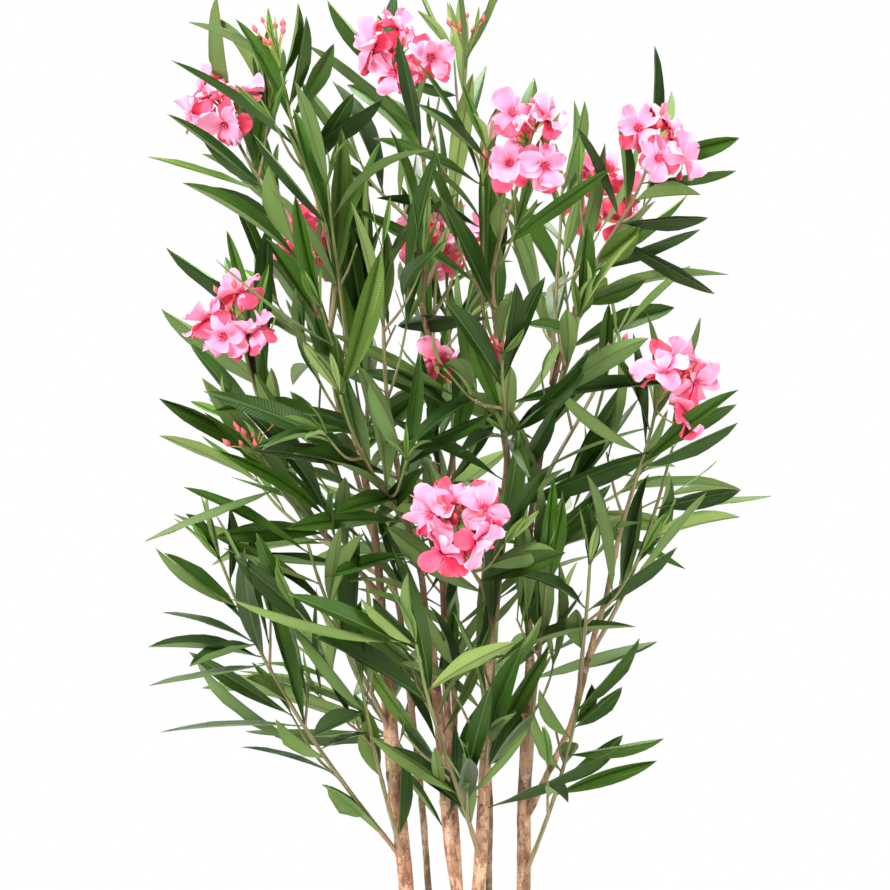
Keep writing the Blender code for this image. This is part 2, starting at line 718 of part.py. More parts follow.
def build_filling(parts):
    """The cement filling, a hair clear of the pot's floor and wall."""
    floor = POT_WALL + CLEARANCE
    inner = POT_WALL + 2 * CLEARANCE
    profile = (
        (0.0, FILL_LEVEL),
        (wall_radius(FILL_LEVEL) - inner, FILL_LEVEL),
        (wall_radius(floor) - inner, floor),
        (0.0, floor),
    )
    return turned("filling", profile, parts, finish("cement", (0.32, 0.30, 0.27), 0.95))


def build_limb(limb, path, parts, resolution, material):
    """One stem or bough as a tapering tube with flat ends."""
    item = tube(limb.name, *path, parts, resolution=resolution)
    item.data.materials.clear()
    item.data.materials.append(material)
    item.data.shade_smooth()
    item.data.set_sharp_from_angle(angle=math.radians(50))
    return item


def main():
    """Work out every path, then build the pot, the limbs and the sprays."""
    clear_scene()
    parts = bpy.data.collections.new(COLLECTION)
    pieces = bpy.data.collections.new("spray_pieces")
    guides = bpy.data.collections.new("guides")
    for collection in (parts, pieces, guides):
        bpy.context.scene.collection.children.link(collection)

    limbs = {}
    for seed, limb in enumerate(STEMS):
        limbs[limb.name] = stem_path(limb, seed)
    for seed, limb in enumerate(BOUGHS, start=100):
        limbs[limb.name] = bough_path(limb, limbs[limb.parent], seed)
    axes = {spray.name: spray_path(spray, limbs[spray.parent]) for spray in SPRAYS}
    space = Space(limbs, axes)

    build_pot(parts)
    build_filling(parts)
    bark = finish("bark", (0.46, 0.30, 0.20), 0.75)
    young_bark = finish("young_bark", (0.20, 0.16, 0.09), 0.7)
    for limb in STEMS:
        build_limb(limb, limbs[limb.name], parts, 2, bark)
    for limb in BOUGHS:
        build_limb(limb, limbs[limb.name], parts, 1, young_bark)

    section = three_sided_section(guides)
    green = finish("foliage", (0.06, 0.16, 0.05), 0.5)
    for spray in SPRAYS:
        grown = grow(spray, axes[spray.name], space)
        build_spray(spray, axes[spray.name], grown, parts, pieces, section, green)
    bpy.data.objects.remove(section, do_unlink=True)
    bpy.data.collections.remove(pieces)
    bpy.data.collections.remove(guides)


if __name__ == "__main__":
    main()
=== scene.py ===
"""The looks of a potted artificial oleander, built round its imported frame.

The paths of the stems, boughs and sprays, and the seeded rule of the leaves, are the ones that the
solids were made by, so each twig and leaf grows where its solid stands and is then carried on to
finer growth. Units are metres, +Z is up, and the plant's front is towards -Y.
"""

import itertools
import json
import logging
import math
import random
from dataclasses import dataclass, field
from enum import Enum

import bpy
import numpy as np
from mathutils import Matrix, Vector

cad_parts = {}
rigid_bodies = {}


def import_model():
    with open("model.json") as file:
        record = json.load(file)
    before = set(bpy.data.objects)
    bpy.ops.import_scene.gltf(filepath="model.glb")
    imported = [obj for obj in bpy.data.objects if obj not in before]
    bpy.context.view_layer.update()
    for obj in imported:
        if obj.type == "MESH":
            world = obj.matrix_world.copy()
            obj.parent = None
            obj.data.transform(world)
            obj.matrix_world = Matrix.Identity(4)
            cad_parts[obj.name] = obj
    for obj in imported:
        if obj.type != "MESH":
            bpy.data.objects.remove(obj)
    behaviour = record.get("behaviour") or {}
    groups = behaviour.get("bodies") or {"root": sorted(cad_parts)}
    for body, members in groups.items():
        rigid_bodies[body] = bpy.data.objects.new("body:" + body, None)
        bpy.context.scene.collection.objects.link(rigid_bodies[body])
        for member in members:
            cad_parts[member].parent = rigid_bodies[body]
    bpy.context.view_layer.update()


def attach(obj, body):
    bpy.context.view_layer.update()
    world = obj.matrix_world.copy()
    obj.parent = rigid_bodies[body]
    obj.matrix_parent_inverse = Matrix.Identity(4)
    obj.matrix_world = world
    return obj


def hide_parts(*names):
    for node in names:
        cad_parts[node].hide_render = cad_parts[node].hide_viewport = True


LOG = logging.getLogger("oleander")
BODY = "root"
MAP_NAME = "OFBake"
UP = np.array((0.0, 0.0, 1.0))
TURN = 2 * math.pi
GOLDEN_ANGLE = math.radians(137.5)
HASH_FACTORS = np.array((73856093, 19349663, 83492791))
HASH_SEED = 7919
HASH_TIMES = (1103515245, 1274126177)
HASH_PLUS = 12345
HASH_SHIFT = 13
HASH_LARGEST = 0x7FFFFFFF

Array = np.ndarray
Socket = bpy.types.NodeSocket
Material = bpy.types.Material
Piece = bpy.types.Object
Place = tuple[float, float, float]
Colour = tuple[float, float, float]
Range = tuple[float, float]
# A limb's points and the radius at each, and the same by the limb's name
Rings = tuple[Array, Array]
Limbs = dict[str, Rings]


# --- the plant's plan


@dataclass(frozen=True)
class Limb:
    """One tapering stem or bough, from its parent's ring (or the filling) to its tip."""

    name: str
    parent: str
    ring: int
    tip: Place
    thick: float
    thin: float
    bow: Range = (0.0, 0.0)
    foot: Range = (0.0, 0.0)


@dataclass(frozen=True)
class Spray:
    """One mass of leaves: what it grows from, its tip, the seed of its rule and its blossom."""

    name: str
    parent: str
    ring: int
    tip: Place
    seed: int = 1
    bare: float = 0.050
    blooms: int = 0
    facing: Place = (0.0, -1.0, 0.3)
    turn: float = 0.0
    buds: int = 0


STEMS = (
    Limb("stem_left", "", 0, (-0.084, -0.030, 0.776), 0.0180, 0.0150, foot=(-0.034, -0.012)),
    Limb("stem_left_thin", "", 0, (-0.065, 0.060, 0.780), 0.0082, 0.0064, foot=(0.000, 0.026)),
    Limb("stem_slanting", "", 0, (-0.035, -0.022, 0.775), 0.0132, 0.0104,
         bow=(0.0, -0.008), foot=(0.024, -0.036)),
    Limb("stem_centre", "", 0, (-0.0315, 0.002, 1.018), 0.0104, 0.0068,
         bow=(0.002, 0.006), foot=(0.004, 0.004)),
    Limb("stem_front", "", 0, (0.037, -0.042, 0.890), 0.0164, 0.0110,
         bow=(-0.013, 0.002), foot=(0.018, -0.012)),
    Limb("stem_right_thin", "", 0, (0.020, 0.070, 0.825), 0.0080, 0.0060, foot=(0.034, 0.034)),
    Limb("stem_right", "", 0, (0.0685, -0.002, 0.745), 0.0172, 0.0136, foot=(0.046, 0.002)),
)

BOUGHS = (
    Limb("bough_left", "stem_left", -1, (-0.170, -0.060, 1.180), 0.0098, 0.0056, bow=(0.016, 0.006)),
    Limb("bough_left_low", "bough_left", 2, (-0.163, -0.062, 0.925), 0.0062, 0.0054),
    Limb("bough_front", "stem_slanting", -1, (-0.075, -0.105, 1.000), 0.0082, 0.0056),
    Limb("bough_top", "stem_centre", -1, (-0.042, 0.004, 1.250), 0.0066, 0.0056, bow=(-0.006, 0.0)),
    Limb("bough_back", "stem_centre", 6, (-0.012, 0.150, 0.980), 0.0062, 0.0054),
    Limb("bough_centre", "stem_front", -1, (0.029, -0.082, 1.133), 0.0086, 0.0056, bow=(0.004, 0.0)),
    Limb("bough_right", "stem_right", -1, (0.1165, -0.002, 1.134), 0.0092, 0.0056, bow=(-0.024, 0.0)),
    Limb("bough_right_low", "stem_right", 8, (0.1545, -0.062, 0.876), 0.0072, 0.0056),
    Limb("bough_back_left", "stem_left_thin", -1, (-0.125, 0.140, 0.985), 0.0062, 0.0054),
    Limb("bough_back_right", "stem_right_thin", -1, (0.092, 0.150, 1.020), 0.0060, 0.0054),
)

SPRAYS = (
    Spray("spray_low_left", "stem_left", 7, (-0.250, -0.100, 0.870), 29, 0.100),
    Spray("spray_low_front", "stem_left", 7, (-0.112, -0.135, 0.790), 22, 0.070),
    Spray("spray_left_front", "stem_left", 9, (-0.160, -0.140, 0.890), 2),
    Spray("spray_left_flowers", "bough_left_low", -1, (-0.232, -0.065, 1.105), 69,
          blooms=4, facing=(-0.3, -0.9, 0.5), turn=0.4, buds=6),
    Spray("spray_left_buds", "bough_left_low", 4, (-0.205, -0.130, 0.970), 32, buds=9),
    Spray("spray_left_top_flowers", "bough_left", -1, (-0.248, 0.015, 1.334), 42,
          blooms=4, facing=(-0.5, -0.8, 0.4), turn=0.9, buds=5),
    Spray("spray_left_peak", "bough_left", 6, (-0.190, -0.075, 1.375), 44, buds=7),
    Spray("spray_left_inner", "bough_left", 5, (-0.140, -0.125, 1.255), 68),
    Spray("spray_left_centre", "bough_left", 4, (-0.110, 0.045, 1.240), 30),
    Spray("spray_left_side", "bough_left", 3, (-0.232, 0.080, 1.100), 42),
    Spray("spray_front_left", "bough_front", -1, (-0.085, -0.145, 1.190), 61),
    Spray("spray_front_middle", "bough_front", 5, (-0.125, -0.215, 1.040), 2),
    Spray("spray_top_flowers", "bough_top", -1, (-0.066, 0.000, 1.388), 14,
          blooms=4, facing=(0.0, -0.9, 0.45), turn=0.2, buds=6),
    Spray("spray_top_left", "bough_top", 6, (-0.110, 0.085, 1.290), 65),
    Spray("spray_top_peak", "bough_top", 5, (0.002, 0.045, 1.400), 32, buds=6),
    Spray("spray_back_middle", "bough_top", 2, (-0.030, 0.125, 1.190), 5,
          blooms=3, facing=(0.0, 0.5, 0.7), turn=0.5),
    Spray("spray_centre_flowers", "bough_centre", -1, (0.060, -0.165, 1.288), 6,
          blooms=4, facing=(0.1, -1.0, 0.2), turn=0.75, buds=7),
    Spray("spray_centre_high", "bough_centre", 5, (0.018, -0.105, 1.255), 8, buds=5),
    Spray("spray_centre_front", "bough_centre", 3, (0.035, -0.215, 1.080), 6),
    Spray("spray_centre_middle", "stem_centre", 9, (-0.004, -0.085, 1.050), 17,
          blooms=2, facing=(0.0, 0.5, 0.6), turn=0.2),
    Spray("spray_front_flowers", "stem_front", 9, (-0.008, -0.205, 0.905), 60,
          blooms=5, facing=(0.0, -1.0, 0.25), turn=0.3, buds=8),
    Spray("spray_front_low", "stem_front", 6, (-0.050, -0.175, 0.790), 20),
    Spray("spray_low_centre", "stem_front", 7, (0.032, -0.130, 0.810), 48),
    Spray("spray_right_top_flowers", "bough_right", -1, (0.192, -0.020, 1.285), 39,
          blooms=4, facing=(0.35, -0.8, 0.6), turn=0.5, buds=7),
    Spray("spray_right_high", "bough_right", 6, (0.105, 0.100, 1.265), 70),
    Spray("spray_right_inner", "bough_right", 3, (0.150, 0.045, 1.060), 44, buds=3),
    Spray("spray_right_front", "bough_right", 5, (0.115, -0.135, 1.120), 27),
    Spray("spray_right_side", "bough_right", 4, (0.165, 0.140, 1.110), 44),
    Spray("spray_right_flowers", "bough_right_low", -1, (0.198, -0.085, 1.038), 26,
          blooms=4, facing=(0.7, -0.5, 0.45), turn=0.1, buds=9),
    Spray("spray_right_far", "bough_right_low", 5, (0.215, -0.035, 0.985), 44, 0.060),
    Spray("spray_right_near", "bough_right_low", 4, (0.125, -0.160, 0.870), 4),
    Spray("spray_right_middle", "stem_right", 9, (0.085, -0.100, 0.885), 14),
    Spray("spray_low_right", "stem_right", 7, (0.118, -0.090, 0.735), 38, 0.075),
    Spray("spray_back_left_top", "bough_back_left", -1, (-0.165, 0.200, 1.195), 2,
          blooms=4, facing=(-0.3, 0.9, 0.5), turn=0.6, buds=3),
    Spray("spray_back_left_low", "bough_back_left", 3, (-0.225, 0.165, 0.950), 40),
    Spray("spray_back_top", "bough_back", -1, (-0.020, 0.235, 1.200), 42,
          blooms=4, facing=(0.1, 0.9, 0.6), turn=0.0, buds=3),
    Spray("spray_back_low", "bough_back", 4, (-0.035, 0.255, 0.920), 67),
    Spray("spray_back_right_top", "bough_back_right", -1, (0.140, 0.200, 1.250), 1,
          blooms=4, facing=(0.5, 0.7, 0.5), turn=0.3, buds=3),
    Spray("spray_back_right_low", "bough_back_right", 3, (0.195, 0.190, 0.960), 6),
    Spray("spray_low_back_right", "stem_right_thin", 8, (0.100, 0.160, 0.790), 66),
    Spray("spray_low_back_left", "stem_left_thin", 8, (-0.130, 0.145, 0.770), 2),
)


# --- small geometry


def unit(vector: Array) -> Array:
    """The vector, or each row of vectors, at length 1."""
    return vector / np.maximum(np.linalg.norm(vector, axis=-1, keepdims=True), 1e-12)


def rotate(vector: Array, axis: Array, angle: float) -> Array:
    """The vector turned by an angle about a unit axis, by Rodrigues' rule."""
    return (vector * math.cos(angle) + np.cross(axis, vector) * math.sin(angle)
            + axis * axis.dot(vector) * (1 - math.cos(angle)))


def across(tangent: Array) -> Array:
    """Any direction square to a tangent, the same each run."""
    helper = UP if abs(tangent[2]) < 0.9 else np.array((1.0, 0.0, 0.0))
    return unit(np.cross(tangent, helper))


def round_stem(tangent: Array, turn: float) -> Array:
    """The direction square to a stem at a turn round it."""
    return rotate(across(tangent), tangent, turn)


def leaning(tangent: Array, radial: Array, angle: float, roll: float) -> tuple[Array, Array]:
    """A leaf that leans from its stem by an angle.

    Args:
        tangent: The stem's direction.
        radial: The direction that the leaf leans to, square to the stem.
        angle: The angle between leaf and stem.
        roll: How far the leaf is turned about its own length.

    Returns:
        The directions that it points and faces.
    """
    along = unit(tangent * math.cos(angle) + radial * math.sin(angle))
    return along, rotate(unit(tangent * math.sin(angle) - radial * math.cos(angle)), along, roll)


def bezier(start: Array, lead: Array, trail: Array, end: Array, count: int) -> Array:
    """Points of a cubic curve: the four points weighed by (1-t)^3, 3t(1-t)^2, 3t^2(1-t) and t^3."""
    t = np.linspace(0.0, 1.0, count)[:, None]
    return (start * (1 - t) ** 3 + lead * 3 * t * (1 - t) ** 2
            + trail * 3 * t ** 2 * (1 - t) + end * t ** 3)


def arcs(start: Array, middle: Array, end: Array, count: int) -> Array:
    """Points of many curves: rows of three points each, weighed by (1-t)^2, 2t(1-t) and t^2."""
    t = np.linspace(0.0, 1.0, count)[None, :, None]
    return start[:, None] * (1 - t) ** 2 + middle[:, None] * 2 * t * (1 - t) + end[:, None] * t ** 2


def circle(sides: int) -> Array:
    """The angles of a ring's points."""
    return np.linspace(0.0, TURN, sides, endpoint=False)


def turned(radius: Array | float, height: Array | float, sides: int) -> Array:
    """A surface turned round the upright axis: (r cos a, r sin a, z) at the angles of a ring."""
    angle = circle(sides)
    radius, height, angle = np.broadcast_arrays(radius, height, angle)
    return np.stack((radius * np.cos(angle), radius * np.sin(angle), height), axis=-1)


def lengths_along(points: Array) -> Array:
    """The distance of each point from the first, along the path."""
    return np.concatenate(([0.0], np.cumsum(np.linalg.norm(np.diff(points, axis=0), axis=1))))


def dense(points: Array, step: float = 0.012) -> tuple[Array, float]:
    """Points along a path, evenly spaced by about a step, and the path's length."""
    along = lengths_along(points)
    places = np.linspace(0.0, along[-1], max(2, round(along[-1] / step) + 1))
    return np.column_stack([np.interp(places, along, points[:, axis]) for axis in range(3)]), along[-1]


def along_path(points: Array, place: float) -> tuple[Array, Array]:
    """The point at a distance along a path, and the unit direction of the stretch that it lies on.

    Args:
        points: The path.
        place: The distance from its start.

    Returns:
        The point and the direction.
    """
    sums = lengths_along(points)
    here = np.array([np.interp(place, sums, points[:, axis]) for axis in range(3)])
    part = min(int(np.searchsorted(sums, place, side="right")) - 1, len(points) - 2)
    return here, unit(points[part + 1] - points[part])


def smooth_path(points: Array, values: Array, count: int) -> Rings:
    """A smooth curve through a path's points, with a value at each carried along.

    Each stretch is a cubic Hermite curve, whose slope at a point is half the way from the point
    before to the point after.

    Args:
        points: The path's points, as rows.
        values: One number for each point.
        count: How many points the curve gets.

    Returns:
        The curve's points and their values.
    """
    joined = np.column_stack((points, values))
    slopes = np.gradient(joined, axis=0)
    sums = lengths_along(points)
    places = np.interp(np.linspace(0, 1, count), sums / sums[-1], np.arange(len(points)))
    part = np.minimum(places.astype(int), len(points) - 2)
    t = (places - part)[:, None]
    curve = (joined[part] * (2 * t ** 3 - 3 * t ** 2 + 1) + slopes[part] * (t ** 3 - 2 * t ** 2 + t)
             + joined[part + 1] * (3 * t ** 2 - 2 * t ** 3) + slopes[part + 1] * (t ** 3 - t ** 2))
    return curve[:, :3], curve[:, 3]


def value_noise(points: Array, cell: float, seed: int) -> Array:
    """A smooth random field between -1 and 1.

    Each corner of a lattice of cubes has a hashed value, and a point blends its cube's eight
    corners with the weight 3t^2 - 2t^3 in each direction.

    Args:
        points: Places, with three numbers in the last axis.
        cell: The lattice's spacing.
        seed: Which field.

    Returns:
        One value for each place.
    """
    scaled = points / cell
    base = np.floor(scaled).astype(np.int64)
    part = scaled - base
    weight = part * part * (3 - 2 * part)
    total = np.zeros(points.shape[:-1])
    for corner in itertools.product((0, 1), repeat=3):
        mixed = np.bitwise_xor.reduce((base + np.array(corner)) * HASH_FACTORS, axis=-1)
        mixed = ((mixed + seed * HASH_SEED) * HASH_TIMES[0] + HASH_PLUS) & HASH_LARGEST
        mixed = ((mixed ^ (mixed >> HASH_SHIFT)) * HASH_TIMES[1]) & HASH_LARGEST
        share = np.prod(np.where(np.array(corner) == 1, weight, 1 - weight), axis=-1)
        total += share * (mixed / HASH_LARGEST * 2 - 1)
    return total


# --- paths and the rule


@dataclass(frozen=True)
class Skeleton:
    """Works out the path of every stem, bough and spray, as the solids have them."""

    fill_level: float = 0.155
    clearance: float = 0.0003
    flare: float = 1.32
    flare_height: float = 0.03
    stem_rings: int = 11
    side_rings: int = 8
    side_start: float = 0.007
    side_lean: float = 0.65
    lead_share: float = 0.31
    trail_share: float = 0.34
    bough_lift: float = 0.4
    spray_lift: float = 0.6
    sway: float = 0.0022
    sway_waves: Range = (1.6, 2.6)
    spray_thick: float = 0.0052
    spray_thin: float = 0.0030
    sunk_at_fork: float = 0.8
    sunk_on_side: float = 0.85
    first_bough_seed: int = 100

    def start_from(self, parent: Rings, ring: int, tip: Array) -> tuple[Array, Array, Array]:
        """Where a limb leaves its parent.

        Args:
            parent: The parent's rings.
            ring: The parent's ring that the limb leaves from.
            tip: The limb's tip.

        Returns:
            The place, the first direction and the direction that the limb is drawn towards.
        """
        points, radii = parent
        last = len(points) - 1
        place = ring % len(points)
        tangent = unit(points[min(place + 1, last)] - points[max(place - 1, 0)])
        if place == last:
            tangent = unit(points[last] - points[last - 1])
            return points[last] + tangent * self.clearance, tangent, tangent
        towards = tip - points[place]
        radial = unit(towards - tangent * towards.dot(tangent))
        drawn = unit(radial * self.side_lean + tangent)
        return points[place] + radial * (radii[place] + self.clearance), radial, drawn

    def wobble(self, count: int, seed: int) -> Array:
        """A slight seeded sway: a sine along the limb, held to nothing at both ends.

        Args:
            count: How many points the limb has.
            seed: The seed of its draws.

        Returns:
            How far each point is moved.
        """
        rng = random.Random(seed)
        t = np.linspace(0.0, 1.0, count)
        sway = np.zeros((count, 3))
        for axis in range(2):
            waves = rng.uniform(*self.sway_waves)
            sway[:, axis] = self.sway * np.sin(math.pi * t) * np.sin(TURN * (waves * t + rng.random()))
        return sway

    def bow(self, limb: Limb) -> Array:
        """How far a curve's two middle points are moved aside, so that it bows as it should."""
        return np.array((*limb.bow, 0.0)) * 4 / 3

    def stem_path(self, limb: Limb, seed: int) -> Rings:
        """A stem's rings, from its flat cut: a short upright flare, then a lean to the tip.

        Args:
            limb: The stem.
            seed: The seed of its sway.

        Returns:
            Its points and their radii.
        """
        base = np.array((*limb.foot, self.fill_level + self.clearance))
        top = np.array(limb.tip)
        start = base + UP * self.flare_height
        bow = self.bow(limb)
        span = top - start
        count = self.stem_rings - 1
        curve = bezier(start, start + span / 3 + bow, start + span * 2 / 3 + bow, top, count)
        radii = np.linspace(limb.thick / 2, limb.thin / 2, count)
        return (np.vstack((base, curve + self.wobble(count, seed))),
                np.concatenate(([limb.thick / 2 * self.flare], radii)))

    def side_path(self, limb: Limb | Spray, parent: Rings, bow: Array | float, lift: float) -> Array:
        """A path that leaves its parent squarely and bends up towards its tip.

        Args:
            limb: The bough or spray.
            parent: The parent's rings.
            bow: How far its middle is moved aside.
            lift: How strongly it turns up at the tip.

        Returns:
            The points.
        """
        top = np.array(limb.tip)
        base, first, drawn = self.start_from(parent, limb.ring, top)
        start = base + first * self.side_start
        span = top - start
        reach = np.linalg.norm(span)
        lead = start + drawn * reach * self.lead_share + bow / 2
        trail = top - unit(span + UP * reach * lift) * reach * self.trail_share + bow
        return np.vstack((base, bezier(start, lead, trail, top, self.side_rings - 1)))

    def bough_path(self, limb: Limb, parent: Rings, seed: int) -> Rings:
        """A bough's rings."""
        points = self.side_path(limb, parent, self.bow(limb), self.bough_lift)
        points[1:] += self.wobble(self.side_rings - 1, seed)
        return points, np.linspace(limb.thick / 2, limb.thin / 2, self.side_rings)

    def spray_path(self, spray: Spray, parent: Rings) -> Rings:
        """The rings of a spray's main stem."""
        points = self.side_path(spray, parent, 0.0, self.spray_lift)
        return points, np.linspace(self.spray_thick / 2, self.spray_thin / 2, self.side_rings)

    def joined(self, limb: Limb | Spray, points: Array, parent: Rings) -> tuple[Array, bool]:
        """A limb's path with its first point moved into its parent, so that it grows out of it.

        On a side, it is moved back along the direction that the limb is drawn towards, half-way
        into the parent.

        Args:
            limb: The limb.
            points: Its points.
            parent: The parent's rings.

        Returns:
            The path, and whether the limb carries on from the parent's tip.
        """
        _, first, drawn = self.start_from(parent, limb.ring, np.array(limb.tip))
        radius = parent[1][limb.ring]
        if limb.ring % len(parent[0]) == len(parent[0]) - 1:
            return np.vstack((points[:1] - drawn * radius * self.sunk_at_fork, points[1:])), True
        back = (self.side_start + radius * self.sunk_on_side) / drawn.dot(first)
        return np.vstack((points[1:2] - drawn * back, points[1:])), False

    def limbs(self) -> Limbs:
        """The rings of every stem and bough."""
        found: Limbs = {}
        for seed, limb in enumerate(STEMS):
            found[limb.name] = self.stem_path(limb, seed)
        for seed, limb in enumerate(BOUGHS, start=self.first_bough_seed):
            found[limb.name] = self.bough_path(limb, found[limb.parent], seed)
        return found

    def axes(self, limbs: Limbs) -> Limbs:
        """The rings of every spray's main stem."""
        return {spray.name: self.spray_path(spray, limbs[spray.parent]) for spray in SPRAYS}


class Space:
    """Tells whether points lie in a spray's own space and clear of the limbs."""

    margin = 0.0035
    reach = 0.175
    limb_margin = 0.0035
    top = 1.497
    foot = 0.535

    def __init__(self, limbs: Limbs, axes: Limbs) -> None:
        """Takes in the rings of the limbs and of the sprays' main stems.

        Args:
            limbs: Every stem's and bough's rings.
            axes: Every spray's main stem's rings.
        """
        self.names = list(axes)
        rows = [dense(points)[0] for points, _ in axes.values()]
        self.owner = np.concatenate([np.full(len(row), number) for number, row in enumerate(rows)])
        self.cloud = np.vstack(rows)
        rows = [dense(points)[0] for points, _ in limbs.values()]
        self.limb_cloud = np.vstack(rows)
        self.limb_radius = np.concatenate([
            np.interp(np.linspace(0, 1, len(row)), np.linspace(0, 1, len(radii)), radii)
            for row, (_, radii) in zip(rows, limbs.values())
        ])

    def nearest(self, point: Array) -> str:
        """The spray whose main stem is nearest to a point."""
        return self.names[int(self.owner[np.linalg.norm(self.cloud - point, axis=1).argmin()])]

    def is_open(self, points: Array) -> bool:
        """Whether points lie inside the crown and clear of every limb."""
        gaps = np.linalg.norm(points[:, None] - self.limb_cloud[None], axis=2) - self.limb_radius
        return bool(points[:, 2].max() < self.top and points[:, 2].min() > self.foot
                    and gaps.min() > self.limb_margin)

    def holds(self, name: str, points: Array, margin: float = margin) -> bool:
        """Whether points are nearer to a spray's own stem than to any other, and clear of limbs.

        Args:
            name: The spray.
            points: The points, as rows.
            margin: How much nearer they have to be.

        Returns:
            True when every point passes.
        """
        gaps = np.linalg.norm(points[:, None] - self.cloud[None], axis=2)
        mine = self.owner == self.names.index(name)
        own = gaps[:, mine].min(axis=1)
        if own.max() > self.reach or (own + margin > gaps[:, ~mine].min(axis=1)).any():
            return False
        return self.is_open(points)


@dataclass(frozen=True)
class Room:
    """What a spray grows by: its name, the space that it keeps to, and its seeded draws."""

    name: str
    space: Space
    draws: random.Random

    def holds(self, points: Array, margin: float = Space.margin) -> bool:
        """Whether points lie in the spray's own space."""
        return self.space.holds(self.name, points, margin)


class LeafTint(Enum):
    """The tints that the leaves are dealt in."""

    DEEP = "deep"
    SHADE = "shade"
    MIDDLE = "middle"
    OLIVE = "olive"
    FRESH = "fresh"
    YOUNG = "young"


DEEP, SHADE, MIDDLE, OLIVE, FRESH, YOUNG = LeafTint


@dataclass
class Leaf:
    """Where a leaf sits: its root, the way it points and faces, its size and its spray.

    A listed leaf also has a tint, a bend to its side, and the side that it shows: 1
    for the upper side and -1 for the underside.
    """

    root: Array
    along: Array
    face: Array
    length: float
    width: float
    spray: str = ""
    tint: LeafTint | None = None
    curve: float = 0.0
    shown: int = 0

    def on_midline(self, share: float | Array) -> Array:
        """The place at a share of the way from root to tip."""
        return self.root + self.along * self.length * share

    def outline(self, share: tuple[float, ...] = (0.22, 0.45, 0.7, 1.0)) -> Array:
        """Points down the middle and at both edges of the widest place."""
        side = np.cross(self.face, self.along) * self.width / 2
        middle = [self.on_midline(part) for part in share]
        return np.array([*middle, middle[1] + side, middle[1] - side])


@dataclass
class Growth:
    """What a spray has grown: its twigs, each of three points, and its leaves."""

    twigs: list[Array] = field(default_factory=list)
    leaves: list[Leaf] = field(default_factory=list)


